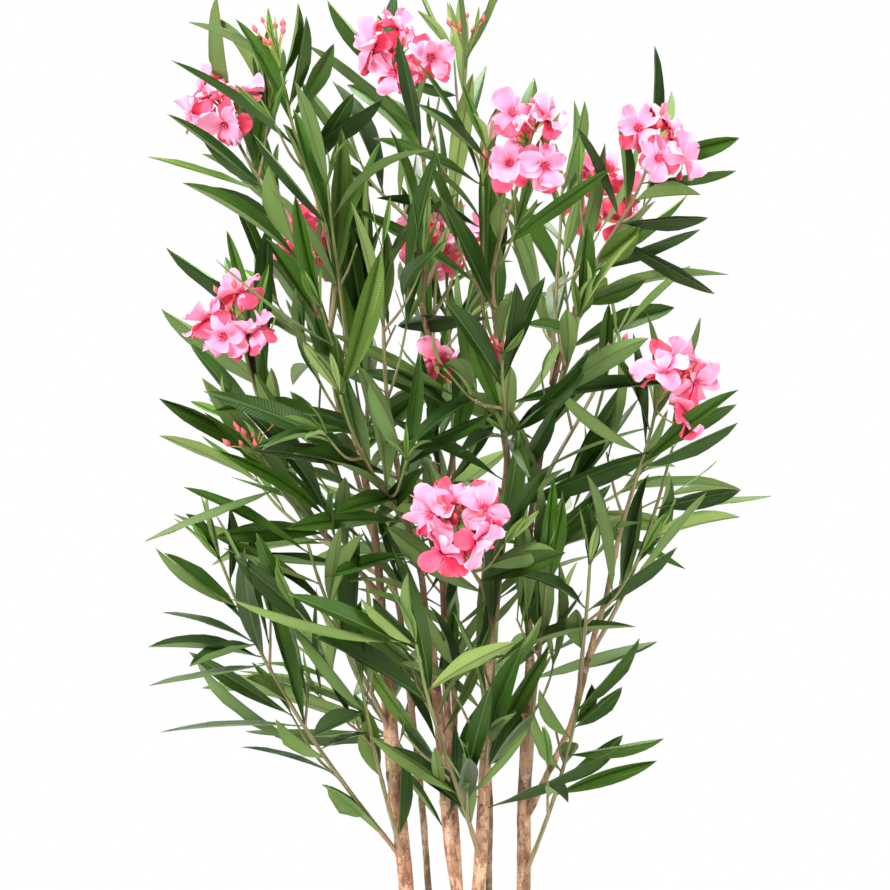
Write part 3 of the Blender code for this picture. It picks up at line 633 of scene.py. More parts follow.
@dataclass(frozen=True)
class GrowthRule:
    """The seeded rule: whorls of three leaves round a stem, and side twigs that carry whorls.

    A leaf that has no room is drawn in, turned round the stem or shortened, in the order of tries.
    """

    whorl_spacing: float = 0.034
    whorl_leaves: int = 3
    whorl_step: float = 0.0055
    twig_every: int = 2
    twig_length: float = 0.085
    twig_sizes: Range = (0.75, 1.25)
    twig_angle: float = math.radians(40)
    twig_bend: float = 0.45
    twig_lift: float = 0.5
    twig_turn: float = 0.4
    twig_ahead: float = 0.5
    twig_below_whorl: float = 0.012
    twig_shorter: tuple[float, ...] = (1.0, 0.7, 0.5)
    twig_whorls: tuple[float, ...] = (0.5, 0.97)
    tip_inset: float = 0.002
    leaf_length: float = 0.146
    leaf_lengths: Range = (0.84, 1.13)
    shorter_from: float = 0.45
    shorter_by: float = 0.51
    width_share: float = 0.160
    widths: Range = (0.80, 1.28)
    open_low: float = math.radians(48)
    open_high: float = math.radians(27)
    open_jitter: float = 0.17
    low_spread: float = math.radians(55)
    low_spread_below: float = 0.93
    turn_jitter: float = 0.3
    roll: float = 0.75
    lowest_lean: float = -0.15
    tries: tuple[Place, ...] = (
        (0.0, 0.0, 1.0), (-0.25, 0.0, 1.0), (0.0, 0.7, 1.0), (0.0, -0.7, 1.0),
        (-0.35, 0.3, 0.82), (-0.15, 1.3, 0.95), (-0.15, -1.3, 0.95), (-0.45, 0.0, 0.75),
    )

    def leaf(self, room: Room, place: Array, tangent: Array, azimuth: float, height: float) -> Leaf | None:
        """One leaf of a whorl.

        Args:
            room: The spray's room.
            place: The leaf's root.
            tangent: The direction of the stem there.
            azimuth: The leaf's turn round the stem.
            height: How far up the stem it is, from 0 to 1.

        Returns:
            The leaf, or None where it has no room.
        """
        draw = room.draws.uniform
        opening = self.open_low + (self.open_high - self.open_low) * height
        opening += draw(-self.open_jitter, self.open_jitter)
        opening += self.low_spread * max(0.0, self.low_spread_below - place[2])
        azimuth += draw(-self.turn_jitter, self.turn_jitter)
        shorter_tip = self.shorter_by * max(0.0, height - self.shorter_from)
        length = self.leaf_length * (1.0 - shorter_tip) * draw(*self.leaf_lengths)
        width = length * self.width_share * draw(*self.widths)
        roll = draw(-self.roll, self.roll)
        for less_open, turn, shorter in self.tries:
            radial = round_stem(tangent, azimuth + turn)
            along, face = leaning(tangent, radial, opening + less_open, roll)
            leaf = Leaf(place, along, face, length * shorter, width, room.name)
            if along[2] > self.lowest_lean and room.holds(leaf.outline()):
                return leaf
        return None

    def whorl(self, room: Room, points: Array, place: float, azimuth: float, height: float) -> list[Leaf]:
        """The leaves round one place on a stem or twig, as far as they have room.

        Args:
            room: The spray's room.
            points: The path of the stem or twig.
            place: The distance along it.
            azimuth: The turn of the first leaf.
            height: How far up it is, from 0 to 1.

        Returns:
            The leaves.
        """
        found = []
        for number in range(self.whorl_leaves):
            here, tangent = along_path(points, place - number * self.whorl_step)
            turn = azimuth + number * TURN / self.whorl_leaves
            found.append(self.leaf(room, here, tangent, turn, height))
        return [leaf for leaf in found if leaf is not None]

    def twig(self, room: Room, points: Array, place: float, azimuth: float) -> Array | None:
        """A side twig that bends up.

        Args:
            room: The spray's room.
            points: The path of the spray's main stem.
            place: The distance along it.
            azimuth: The twig's turn round the stem.

        Returns:
            The twig's three points, or None where it has no room.
        """
        here, tangent = along_path(points, place)
        length = self.twig_length * room.draws.uniform(*self.twig_sizes)
        radial = round_stem(tangent, azimuth + room.draws.uniform(-self.twig_turn, self.twig_turn))
        along = unit(tangent * math.cos(self.twig_angle) + radial * math.sin(self.twig_angle))
        lifted = unit(along + UP * self.twig_lift)
        for shorter in self.twig_shorter:
            bend = here + along * length * shorter * self.twig_bend
            tip = bend + lifted * length * shorter * (1 - self.twig_bend)
            if room.holds(np.array((bend, (bend + tip) / 2, tip))):
                return np.array((here, bend, tip))
        return None

    def grow(self, spray: Spray, points: Array, space: Space) -> Growth:
        """Every twig and leaf of a spray, with the same draws as the solids.

        Args:
            spray: The spray.
            points: The path of its main stem.
            space: The space that it keeps to.

        Returns:
            What it has grown.
        """
        room = Room(spray.name, space, random.Random(spray.seed))
        length = dense(points)[1]
        growth = Growth()
        azimuth = room.draws.uniform(0.0, TURN)
        count = max(2, round((length - spray.bare) / self.whorl_spacing) + 1)
        for number, place in enumerate(np.linspace(spray.bare, length - self.tip_inset, count)):
            azimuth += GOLDEN_ANGLE
            growth.leaves += self.whorl(room, points, place, azimuth, place / length)
            if number % self.twig_every or number >= count - 2:
                continue
            twig = self.twig(room, points, place - self.twig_below_whorl, azimuth + self.twig_ahead)
            if twig is not None:
                growth.twigs.append(twig)
                for share in self.twig_whorls:
                    growth.leaves += self.whorl(room, twig, dense(twig)[1] * share,
                                                azimuth + share * math.pi, share)
        return growth


@dataclass(frozen=True)
class FrontView:
    """The plant seen from the front as a grid of steps, counted to the right and down."""

    step: float = 0.00105
    middle: Range = (445.0, 445.0)
    centre: Range = (-0.021, 0.99)
    distance: float = 4.0

    def size_of_step(self, depth: float | Array) -> float | Array:
        """The size of a step that far behind the plant's middle, as it grows with the distance."""
        return self.step * (1 + depth / self.distance)

    def seen(self, points: Array) -> Array:
        """Where points stand in the grid: x and z from its centre, over the size of a step there."""
        step = self.size_of_step(points[:, 1])
        return np.column_stack((self.middle[0] + (points[:, 0] - self.centre[0]) / step,
                                self.middle[1] - (points[:, 2] - self.centre[1]) / step))


@dataclass(frozen=True)
class SetLeaf:
    """A long leaf that is listed for a spray's main stem, to give the crown its outline.

    It has the places of its root and its tip and its widest width in the front view's steps, its
    tint, how far it leans to the front, its bend to the side and the side that it shows.
    """

    root: tuple[int, int]
    tip: tuple[int, int]
    wide: int
    tint: LeafTint
    ahead: float
    curve: float = 0.0
    shown: int = 1
    view: FrontView = FrontView()
    nearer: float = 0.05
    least: float = 0.022
    seen_share: float = 0.85
    spacing: float = 0.004
    faces: Place = (0.0, -1.0, 0.25)

    def leaf(self, points: Array, spray: str) -> Leaf:
        """The leaf, turned about its own length until it looks as narrow as it should.

        Its root is the point of the stem that looks nearest to the root's place.

        Args:
            points: The path of the spray's main stem.
            spray: The spray's name.

        Returns:
            The leaf.
        """
        row = dense(points, self.spacing)[0]
        places = self.view.seen(row)
        nearest = int(np.linalg.norm(places - self.root, axis=1).argmin())
        root = row[nearest]
        step = float(self.view.size_of_step(root[1] - self.nearer))
        right, down = (np.array(self.tip) - places[nearest]) * step
        reach = math.hypot(right, down)
        along = unit(np.array((right / reach, -self.ahead, -down / reach)))
        front = np.array(self.faces)
        face = unit(front - along * front.dot(along))
        along = unit(along - np.cross(face, along) * self.curve)
        face = unit(face - along * face.dot(along))
        seen = self.wide * step
        width = max(seen, self.least)
        face = rotate(face, along, math.acos(min(1.0, self.seen_share * seen / width)))
        length = reach * math.hypot(1.0, self.ahead)
        return Leaf(root, along, face, length, width, spray, self.tint, self.curve, self.shown)


# Root, tip, width, tint, lean to the front, bend and shown side of each listed leaf
SET_LEAVES = {
    "spray_low_left": (
        ((293, 735), (163, 750), 11, DEEP, 0.1, 0.22), ((231, 681), (148, 682), 12, DEEP, 0.1),
        ((230, 672), (148, 643), 15, DEEP, 0.1), ((230, 655), (190, 664), 14, DEEP, 0.3),
        ((232, 655), (162, 610), 14, DEEP, 0.1), ((226, 634), (165, 548), 19, SHADE, 0.1),
        ((230, 615), (151, 552), 9, MIDDLE, 0.2, 0.05, -1), ((221, 563), (185, 513), 13, FRESH, 0.1),
        ((228, 584), (229, 505), 15, SHADE, 0.15), ((238, 634), (250, 534), 17, DEEP, 0.1),
        ((307, 728), (268, 580), 19, MIDDLE, 0.25, -0.1),
        ((323, 765), (274, 718), 18, MIDDLE, 0.3, 0.1, -1), ((275, 713), (246, 676), 18, OLIVE, 0.3),
        ((371, 818), (325, 785), 14, MIDDLE, 0.3, 0, -1), ((327, 784), (237, 759), 11, DEEP, 0.1, 0.25),
        ((388, 850), (315, 784), 8, SHADE, 0.2, 0.1),
    ),
    "spray_low_front": (
        ((365, 711), (313, 736), 26, DEEP, 0.3), ((405, 726), (321, 751), 14, DEEP, 0.3, 0.2),
        ((390, 776), (365, 715), 20, FRESH, 0.3, 0, -1), ((350, 784), (355, 690), 17, MIDDLE, 0.1),
        ((396, 845), (405, 753), 13, SHADE, 0.1),
    ),
    "spray_front_low": (
        ((459, 795), (361, 736), 20, FRESH, 0.3, 0.1, -1), ((459, 813), (386, 740), 22, DEEP, 0.2),
        ((473, 826), (467, 767), 24, OLIVE, 0.3, 0, -1), ((423, 655), (288, 592), 30, SHADE, 0.3),
        ((444, 701), (317, 626), 28, DEEP, 0.2), ((400, 594), (232, 592), 9, MIDDLE, 0.3, 0, -1),
        ((423, 645), (355, 599), 16, OLIVE, 0.3, 0.1, -1),
        ((417, 615), (409, 570), 17, MIDDLE, 0.3, 0, -1),
        ((451, 684), (513, 634), 15, OLIVE, 0.3, -0.1, -1),
    ),
    "spray_left_front": (
        ((350, 574), (221, 549), 15, OLIVE, 0.3, 0.1, -1),
        ((305, 557), (190, 476), 15, MIDDLE, 0.1, -0.1), ((361, 595), (363, 530), 18, MIDDLE, 0.3, 0, -1),
    ),
    "spray_left_peak": (
        ((318, 292), (346, 129), 34, OLIVE, 0.25, -0.06), ((317, 325), (267, 237), 25, MIDDLE, 0.25),
        ((277, 158), (171, 58), 22, DEEP, 0.15), ((242, 72), (187, 20), 12, DEEP, 0),
        ((275, 133), (240, 15), 26, MIDDLE, 0.1), ((282, 112), (307, 15), 15, SHADE, 0.1),
        ((270, 80), (298, 2), 11, MIDDLE, 0), ((280, 125), (340, 45), 13, MIDDLE, 0.1, -0.15),
        ((290, 160), (383, 103), 15, DEEP, 0.2, -0.25), ((288, 179), (352, 90), 21, DEEP, 0.1),
        ((309, 204), (284, 121), 15, MIDDLE, 0.1),
    ),
    "spray_left_top_flowers": (
        ((288, 254), (270, 165), 25, MIDDLE, 0.3, 0, -1), ((284, 287), (178, 190), 18, MIDDLE, 0.15, 0.1),
        ((257, 202), (148, 155), 15, OLIVE, 0.1, 0.06), ((265, 246), (194, 179), 14, DEEP, 0),
        ((267, 192), (167, 115), 16, SHADE, 0.2, 0.06),
    ),
    "spray_left_inner": (
        ((355, 396), (318, 315), 25, MIDDLE, 0.3),
    ),
    "spray_centre_middle": (
        ((482, 417), (358, 370), 25, DEEP, 0.3, 0.15), ((473, 400), (344, 321), 17, OLIVE, 0.2, -0.25),
    ),
    "spray_front_middle": (
        ((355, 367), (384, 250), 28, OLIVE, 0.1),
    ),
    "spray_centre_high": (
        ((480, 227), (375, 200), 22, DEEP, 0.2, 0.1), ((480, 180), (375, 131), 18, MIDDLE, 0.2, -0.1),
        ((475, 290), (348, 212), 22, MIDDLE, 0.2, 0.1), ((476, 137), (413, 54), 13, DEEP, 0.1),
        ((498, 353), (528, 285), 28, OLIVE, 0.35, 0, -1),
    ),
    "spray_centre_front": (
        ((498, 439), (512, 365), 30, OLIVE, 0.35, 0, -1), ((515, 435), (592, 351), 25, DEEP, 0.15, 0.1),
    ),
    "spray_centre_flowers": (
        ((512, 255), (612, 165), 20, MIDDLE, 0.2, -0.05),
        ((511, 247), (505, 191), 18, MIDDLE, 0.3, 0, -1),
    ),
    "spray_right_front": (
        ((605, 345), (523, 330), 24, MIDDLE, 0.2, 0.5), ((560, 440), (592, 351), 24, DEEP, 0.2),
    ),
    "spray_right_flowers": (
        ((655, 439), (739, 383), 20, MIDDLE, 0.15), ((655, 431), (728, 371), 20, SHADE, 0.25),
        ((648, 455), (740, 401), 19, SHADE, 0, -0.1), ((651, 474), (740, 426), 10, DEEP, 0.1, -0.1),
        ((636, 443), (634, 331), 16, DEEP, 0.1), ((634, 428), (611, 347), 15, SHADE, 0.2),
        ((623, 447), (551, 385), 17, MIDDLE, 0.3, 0, -1),
    ),
    "spray_right_top_flowers": (
        ((626, 247), (710, 296), 13, DEEP, 0.15, -0.15), ((609, 281), (703, 230), 12, DEEP, 0.1, -0.08),
        ((595, 310), (727, 282), 10, MIDDLE, 0.2, -0.3, -1), ((595, 310), (647, 283), 14, MIDDLE, 0.1),
        ((621, 224), (709, 219), 9, DEEP, 0.1, -0.06), ((631, 199), (701, 196), 7, MIDDLE, 0.1, -0.1, -1),
        ((640, 185), (738, 175), 7, SHADE, 0.1, -0.1), ((650, 165), (740, 139), 17, MIDDLE, 0.1, -0.1),
        ((613, 216), (578, 122), 20, DEEP, 0.1), ((625, 208), (617, 124), 16, SHADE, 0.1),
        ((598, 266), (640, 228), 27, OLIVE, 0.25), ((580, 300), (607, 277), 26, OLIVE, 0.3, 0, -1),
    ),
    "spray_low_right": (
        ((560, 755), (665, 740), 12, MIDDLE, 0.1, -0.2),
        ((555, 797), (656, 759), 21, MIDDLE, 0.15, -0.15), ((563, 788), (624, 733), 19, SHADE, 0.1),
        ((578, 730), (623, 685), 16, SHADE, 0.1), ((578, 728), (594, 684), 13, FRESH, 0.1),
        ((563, 707), (640, 635), 16, SHADE, 0.1, -0.05), ((567, 768), (577, 741), 20, MIDDLE, 0.3, 0, -1),
        ((573, 741), (538, 688), 14, MIDDLE, 0.3, 0, -1),
        ((563, 772), (528, 707), 14, MIDDLE, 0.3, 0, -1),
    ),
    "spray_right_far": (
        ((632, 538), (741, 520), 16, OLIVE, 0.1, -0.1, -1),
        ((640, 503), (741, 491), 19, DEEP, 0.1, -0.08),
    ),
    "spray_right_near": (
        ((596, 613), (683, 555), 13, DEEP, 0.1, -0.15), ((583, 650), (575, 608), 24, MIDDLE, 0.3, 0, -1),
        ((586, 572), (586, 503), 24, DEEP, 0.1), ((578, 609), (511, 576), 17, DEEP, 0.3, 0.3),
    ),
    "spray_low_centre": (
        ((480, 790), (523, 711), 24, DEEP, 0.1), ((480, 763), (551, 645), 24, MIDDLE, 0.2, -0.1),
    ),
}


@dataclass(frozen=True)
class FinerRule:
    """What grows on from the rule.

    Tufts of young leaves stand at the ends of stems and twigs, some boughs bear leaves of their
    own, and a share of the rule's leaves is missing, more of them high up.
    """

    leafy: tuple[tuple[str, float, float], ...] = (
        ("bough_centre", 0.10, 0.95), ("stem_front", 0.62, 0.98), ("bough_front", 0.20, 0.95),
        ("stem_centre", 0.62, 0.98), ("bough_right", 0.25, 0.70), ("bough_left", 0.25, 0.60),
        ("bough_left_low", 0.30, 0.80), ("stem_slanting", 0.70, 0.98),
    )
    leafy_seed: int = 62
    leafy_spacing: float = 0.030
    leafy_length: Range = (0.105, 0.155)
    leafy_width_share: Range = (0.13, 0.19)
    leafy_opening: Range = (0.75, 1.35)
    leafy_forward: float = 0.5
    leafy_turn: float = 0.4
    leafy_roll: float = 0.9
    leafy_sunk: float = 0.6
    pair_step: float = 0.003
    thin_seed: int = 61
    thin_from: float = 0.90
    thin_over: float = 0.30
    thin_share: float = 0.60
    thin_low: float = 0.42
    thin_sprays: tuple[tuple[str, float], ...] = (
        ("spray_low_left", 0.55), ("spray_left_front", 0.60), ("spray_left_side", 0.75),
        ("spray_left_peak", 0.85), ("spray_left_top_flowers", 0.60), ("spray_top_left", 0.85),
        ("spray_top_peak", 0.70), ("spray_low_right", 0.85), ("spray_right_near", 0.85),
        ("spray_right_far", 0.80), ("spray_right_flowers", 0.60), ("spray_right_inner", 0.80),
        ("spray_right_front", 0.70), ("spray_right_side", 0.80), ("spray_right_high", 0.75),
        ("spray_right_top_flowers", 0.65), ("spray_low_back_right", 0.70),
        ("spray_back_right_low", 0.60), ("spray_back_right_top", 0.65),
        ("spray_back_left_low", 0.65), ("spray_back_left_top", 0.60),
    )
    end_on: float = 0.70
    thin_end_on: float = 0.80
    tuft_leaves: tuple[int, int] = (2, 4)
    tuft_length: Range = (0.034, 0.068)
    tuft_width_share: float = 0.155
    tuft_opening: Range = (0.10, 0.42)
    tuft_roll: float = 0.6
    tuft_seed: int = 5000
    stands_for: float = 0.06
    middle: float = 0.6

    def thinned(self, leaves: list[Leaf]) -> list[Leaf]:
        """The leaves less a share, by a seeded draw.

        The share grows with height, or is a spray's own, and most leaves that point straight to the
        front go, since they look like blots.

        Args:
            leaves: The rule's leaves.

        Returns:
            The leaves that stay.
        """
        rng = random.Random(self.thin_seed)
        own = dict(self.thin_sprays)
        kept = []
        for leaf in leaves:
            high = np.clip((leaf.root[2] - self.thin_from) / self.thin_over, 0, 1)
            missing = own.get(leaf.spray, self.thin_low + (self.thin_share - self.thin_low) * high)
            if leaf.along[1] < -self.end_on:
                missing = max(missing, self.thin_end_on)
            if rng.random() > missing:
                kept.append(leaf)
        return kept

    def set_by_hand(self, axes: Limbs) -> list[Leaf]:
        """The listed leaves, each on its spray's main stem."""
        return [SetLeaf(*row).leaf(axes[spray][0], spray)
                for spray, rows in SET_LEAVES.items() for row in rows]

    def make_room(self, leaves: list[Leaf], placed: list[Leaf]) -> list[Leaf]:
        """The rule's leaves less those that a set leaf of their spray stands for: the nearest one.

        Args:
            leaves: The rule's leaves.
            placed: The listed leaves.

        Returns:
            The leaves that stay.
        """
        kept = list(leaves)
        for leaf in placed:
            middle = leaf.on_midline(self.middle)
            near = [(float(np.linalg.norm(other.on_midline(self.middle) - middle)), number)
                    for number, other in enumerate(kept) if other.spray == leaf.spray]
            if near and min(near)[0] < self.stands_for:
                del kept[min(near)[1]]
        return kept

    def on_boughs(self, limbs: Limbs, space: Space) -> list[Leaf]:
        """Leaves that grow straight from the boughs, in pairs that turn up the bough.

        Args:
            limbs: Every limb's rings.
            space: The space of the sprays, which tells whose leaf each one counts as.

        Returns:
            The leaves.
        """
        rng = random.Random(self.leafy_seed)
        found = []
        for name, low, high in self.leafy:
            points, radii = limbs[name]
            sums = lengths_along(points)
            azimuth = rng.uniform(0, TURN)
            for place in np.arange(low * sums[-1], high * sums[-1], self.leafy_spacing):
                azimuth += GOLDEN_ANGLE
                radius = np.interp(place, sums, radii)
                for half_turn in (0.0, math.pi):
                    here, tangent = along_path(points, place + half_turn * self.pair_step)
                    turn = azimuth + half_turn + rng.uniform(-self.leafy_turn, self.leafy_turn)
                    radial = unit(round_stem(tangent, turn) - np.array((0.0, self.leafy_forward, 0.0)))
                    radial = unit(radial - tangent * radial.dot(tangent))
                    angle = rng.uniform(*self.leafy_opening)
                    roll = rng.uniform(-self.leafy_roll, self.leafy_roll)
                    along, face = leaning(tangent, radial, angle, roll)
                    size = rng.uniform(*self.leafy_length)
                    width = size * rng.uniform(*self.leafy_width_share)
                    leaf = Leaf(here + radial * radius * self.leafy_sunk, along, face, size, width)
                    leaf.spray = space.nearest(leaf.on_midline(0.5))
                    if space.is_open(leaf.outline((0.45, 0.7, 1.0))):
                        found.append(leaf)
        return found

    def tuft(self, room: Room, points: Array) -> list[Leaf]:
        """Young leaves that stand nearly upright round the end of a stem or twig.

        Args:
            room: The spray's room.
            points: The path of the stem or twig.

        Returns:
            The leaves.
        """
        rng = room.draws
        tip, tangent = points[-1], unit(points[-1] - points[-2])
        found = []
        azimuth = rng.uniform(0.0, TURN)
        for _ in range(rng.randint(*self.tuft_leaves)):
            azimuth += GOLDEN_ANGLE
            opening = rng.uniform(*self.tuft_opening)
            length = rng.uniform(*self.tuft_length)
            roll = rng.uniform(-self.tuft_roll, self.tuft_roll)
            along, face = leaning(tangent, round_stem(tangent, azimuth), opening, roll)
            leaf = Leaf(tip, along, face, length, length * self.tuft_width_share, room.name, YOUNG)
            if room.holds(leaf.outline(), 0.0):
                found.append(leaf)
        return found

    def grow(self, spray: Spray, points: Array, growth: Growth, space: Space) -> list[Leaf]:
        """The tufts of a spray: one on each twig, and one on a main stem that bears no blossom.

        Args:
            spray: The spray.
            points: The path of its main stem.
            growth: What the rule has grown.
            space: The space that it keeps to.

        Returns:
            The young leaves.
        """
        room = Room(spray.name, space, random.Random(spray.seed + self.tuft_seed))
        paths = [*growth.twigs, *([] if spray.blooms else [points])]
        return [leaf for path in paths for leaf in self.tuft(room, path)]


# --- mesh making


def grid(rows: int, sides: int) -> tuple[Array, Array]:
    """The row and the ring place of each quad of a tube."""
    row, side = np.meshgrid(np.arange(rows - 1), np.arange(sides), indexing="ij")
    return row, side


def ring_faces(rows: int, sides: int, inward: bool = False) -> Array:
    """The quads of a closed tube whose points run round each row, row after row.

    Args:
        rows: How many rings.
        sides: How many points a ring has.
        inward: True where the rings run the other way round.

    Returns:
        Four point numbers for each quad.
    """
    row, side = grid(rows, sides)
    here, beside = row * sides + side, row * sides + (side + 1) % sides
    quads = np.stack((here, beside, beside + sides, here + sides), axis=-1).reshape(-1, 4)
    return quads[:, ::-1] if inward else quads


def cap_faces(rows: int, sides: int, inward: bool = False) -> Array:
    """The two many-sided faces that close a tube's ends.

    Args:
        rows: How many rings.
        sides: How many points a ring has.
        inward: True where the rings run the other way round.

    Returns:
        The point numbers of the first and last ring, turned to face outwards.
    """
    ring = np.arange(sides)
    caps = np.stack((ring[::-1], ring + (rows - 1) * sides))
    return caps[:, ::-1] if inward else caps


def tube_places(rows: int, sides: int, low: float = 0.04, high: float = 0.96) -> list[Array]:
    """Map places of a tube: u runs round and v along, with the caps in strips of their own.

    Args:
        rows: How many rings.
        sides: How many points a ring has.
        low: The v of the first ring.
        high: The v of the last ring.

    Returns:
        The corner places of the quads and of the two caps.
    """
    row, side = grid(rows, sides)
    u = np.stack((side, side + 1, side + 1, side), axis=-1) / sides
    v = low + (high - low) * np.stack((row, row, row + 1, row + 1), axis=-1) / (rows - 1)
    disc = turned(1.0, 0.0, sides)[:, :2] * low * 0.4
    caps = np.stack((disc[::-1] + (0.5, low / 2), disc + (0.5, 1 - low / 2)))
    return [np.stack((u, v), axis=-1).reshape(-1, 4, 2), caps]


def blade_faces(rows: int, columns: int) -> tuple[Array, Array, Array, Array]:
    """The triangles of a thin blade, whose rings run across its upper side and back below.

    Both sides are split along the same diagonals, so that neither comes through the other.

    Args:
        rows: How many rings.
        columns: How many points the upper side has across it.

    Returns:
        The point numbers of each triangle, the row and the ring place of each of its corners, and
        whether it lies below.
    """
    sides = 2 * columns - 2
    row, side = (part.ravel() for part in grid(rows, sides))
    below = side >= columns - 1
    corner_rows = row[:, None, None] + np.array(((0, 1, 0), (0, 1, 1)))
    split = np.where(below[:, None, None], ((0, 0, 1), (1, 0, 1)), ((0, 1, 1), (0, 0, 1)))
    corner_sides = (side[:, None, None] + split) % sides
    numbers = corner_rows * sides + corner_sides
    return (numbers.reshape(-1, 3), corner_rows.reshape(-1, 3), corner_sides.reshape(-1, 3),
            np.repeat(below, 2))


def blade_ring(columns: Array) -> tuple[Array, Array]:
    """A blade's section, from its columns across.

    Args:
        columns: How far aside each column lies, from one margin to the other.

    Returns:
        How far aside each point of the ring lies, and +1 above, -1 below or 0 on a margin.
    """
    aside = np.concatenate((columns, columns[-2:0:-1]))
    side = np.concatenate((np.ones(len(columns)), -np.ones(len(columns) - 2)))
    side[[0, len(columns) - 1]] = 0.0
    return aside, side


def sweep(paths: Array, radii: Array, sides: int) -> Array:
    """Tubes round paths: each point is the path's point plus the radius times (n cos a + b sin a).

    The direction n is square to the path, starts as any such direction and is carried along with no
    twist, and b is the path's direction crossed with n.

    Args:
        paths: Paths, points and three numbers.
        radii: Paths and points, or with a last axis of the ring's points.
        sides: How many points a ring has.

    Returns:
        Paths, points, ring points and three numbers.
    """
    tangents = unit(np.gradient(paths, axis=1))
    normals = np.empty_like(paths)
    helper = np.where(np.abs(tangents[:, :1, 2:]) < 0.9, UP, np.array((1.0, 0.0, 0.0)))[:, 0]
    current = unit(np.cross(tangents[:, 0], helper))
    for row in range(paths.shape[1]):
        tangent = tangents[:, row]
        current = unit(current - tangent * (current * tangent).sum(1, keepdims=True))
        normals[:, row] = current
    binormals = np.cross(tangents, normals)
    angle = circle(sides)[:, None]
    spokes = normals[:, :, None] * np.cos(angle) + binormals[:, :, None] * np.sin(angle)
    radii = radii[..., None] if radii.ndim == 2 else radii
    return paths[:, :, None] + spokes * radii[..., None]


class MeshParts:
    """Collects points and faces as arrays and makes one mesh of them."""

    def __init__(self) -> None:
        """Starts empty."""
        self.points: list[Array] = []
        self.faces: list[Array] = []
        self.places: list[Array] = []
        self.values: dict[str, list[Array]] = {}
        self.creases: list[Array] = []
        self.count = 0

    def add(self, points: Array, faces: list[Array], places: list[Array],
            values: dict[str, Array] | None = None, crease: Array | None = None) -> None:
        """Adds copies of one shape.

        Args:
            points: Copies, points and three numbers.
            faces: Arrays of point numbers, each of one corner count, for one copy.
            places: For each array of faces, its corners' map places, alike for every copy.
            values: Named numbers for each copy and point.
            crease: Which points of one copy lie on a crease; an edge between two of them is sharp.
        """
        copies, each = points.shape[:2]
        crease = np.zeros(each, dtype=bool) if crease is None else crease
        self.creases.append(np.tile(crease, copies))
        starts = self.count + np.arange(copies) * each
        for face, place in zip(faces, places, strict=True):
            self.faces.append((face[None] + starts[:, None, None]).reshape(-1, face.shape[1]))
            self.places.append(np.broadcast_to(place, (copies, *place.shape)).reshape(-1, 2))
        for name, numbers in (values or {}).items():
            self.values.setdefault(name, []).append(numbers.ravel())
        self.points.append(points.reshape(-1, 3))
        self.count += copies * each

    def add_tubes(self, points: Array, inward: bool = False, values: dict[str, Array] | None = None) -> None:
        """Adds closed tubes.

        Args:
            points: Tubes, rings, ring points and three numbers.
            inward: True where the rings run the other way round.
            values: Named numbers for each tube and point.
        """
        copies, rows, sides = points.shape[:3]
        places = [place[:, ::-1] if inward else place for place in tube_places(rows, sides)]
        faces = [ring_faces(rows, sides, inward), cap_faces(rows, sides, inward)]
        self.add(points.reshape(copies, -1, 3), faces, places, values)

    def build(self, name: str, material: Material) -> Piece:
        """Makes the mesh and its object, at the origin, smooth and with the corner map.

        Args:
            name: The piece's name.
            material: Its one finish.

        Returns:
            The object.
        """
        points = np.concatenate(self.points)
        corners = np.concatenate([face.ravel() for face in self.faces])
        totals = np.concatenate([np.full(len(face), face.shape[1]) for face in self.faces])
        mesh = bpy.data.meshes.new(name)
        mesh.vertices.add(len(points))
        mesh.vertices.foreach_set("co", points.astype(np.float32).ravel())
        mesh.loops.add(len(corners))
        mesh.loops.foreach_set("vertex_index", corners.astype(np.int32))
        mesh.polygons.add(len(totals))
        starts = np.concatenate(([0], np.cumsum(totals)[:-1]))
        mesh.polygons.foreach_set("loop_start", starts.astype(np.int32))
        mesh.update(calc_edges=True)
        mesh.polygons.foreach_set("use_smooth", np.ones(len(totals), dtype=bool))
        edges = np.empty(len(mesh.edges) * 2, dtype=np.int32)
        mesh.edges.foreach_get("vertices", edges)
        sharp = np.concatenate(self.creases)[edges.reshape(-1, 2)].all(axis=1)
        mesh.attributes.new("sharp_edge", "BOOLEAN", "EDGE").data.foreach_set("value", sharp)
        layer = mesh.uv_layers.new(name=MAP_NAME)
        layer.data.foreach_set("uv", np.concatenate(self.places).astype(np.float32).ravel())
        for title, numbers in self.values.items():
            attribute = mesh.attributes.new(title, "FLOAT", "POINT")
            attribute.data.foreach_set("value", np.concatenate(numbers).astype(np.float32))
        mesh.materials.append(material)
        mesh.validate()
        item = bpy.data.objects.new(name, mesh)
        bpy.context.scene.collection.objects.link(item)
        return item

    def piece(self, name: str, material: Material, slot: str, nodes: list[str]) -> Piece:
        """Makes a finished piece that rides on the plant's body.

        Args:
            name: The piece's name.
            material: Its finish.
            slot: Not used.
            nodes: The solids that it replaces.

        Returns:
            The piece.
        """
        piece = self.build(name, material)
        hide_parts(*nodes)
        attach(piece, BODY)
        LOG.info("%s: %d triangles", name, sum(len(face) * (face.shape[1] - 2) for face in self.faces))
        return piece


# --- finishes


def tone(colour: Colour, times: float = 1.0, plus: float = 0.0) -> tuple[float, ...]:
    """A screen colour from 0 to 255, times one number plus another, as the shader's linear colour."""
    parts = np.minimum(np.array(colour) * times + plus, 255) / 255
    linear = np.where(parts <= 0.04045, parts / 12.92, ((parts + 0.055) / 1.055) ** 2.4)
    return (*(float(part) for part in linear), 1.0)


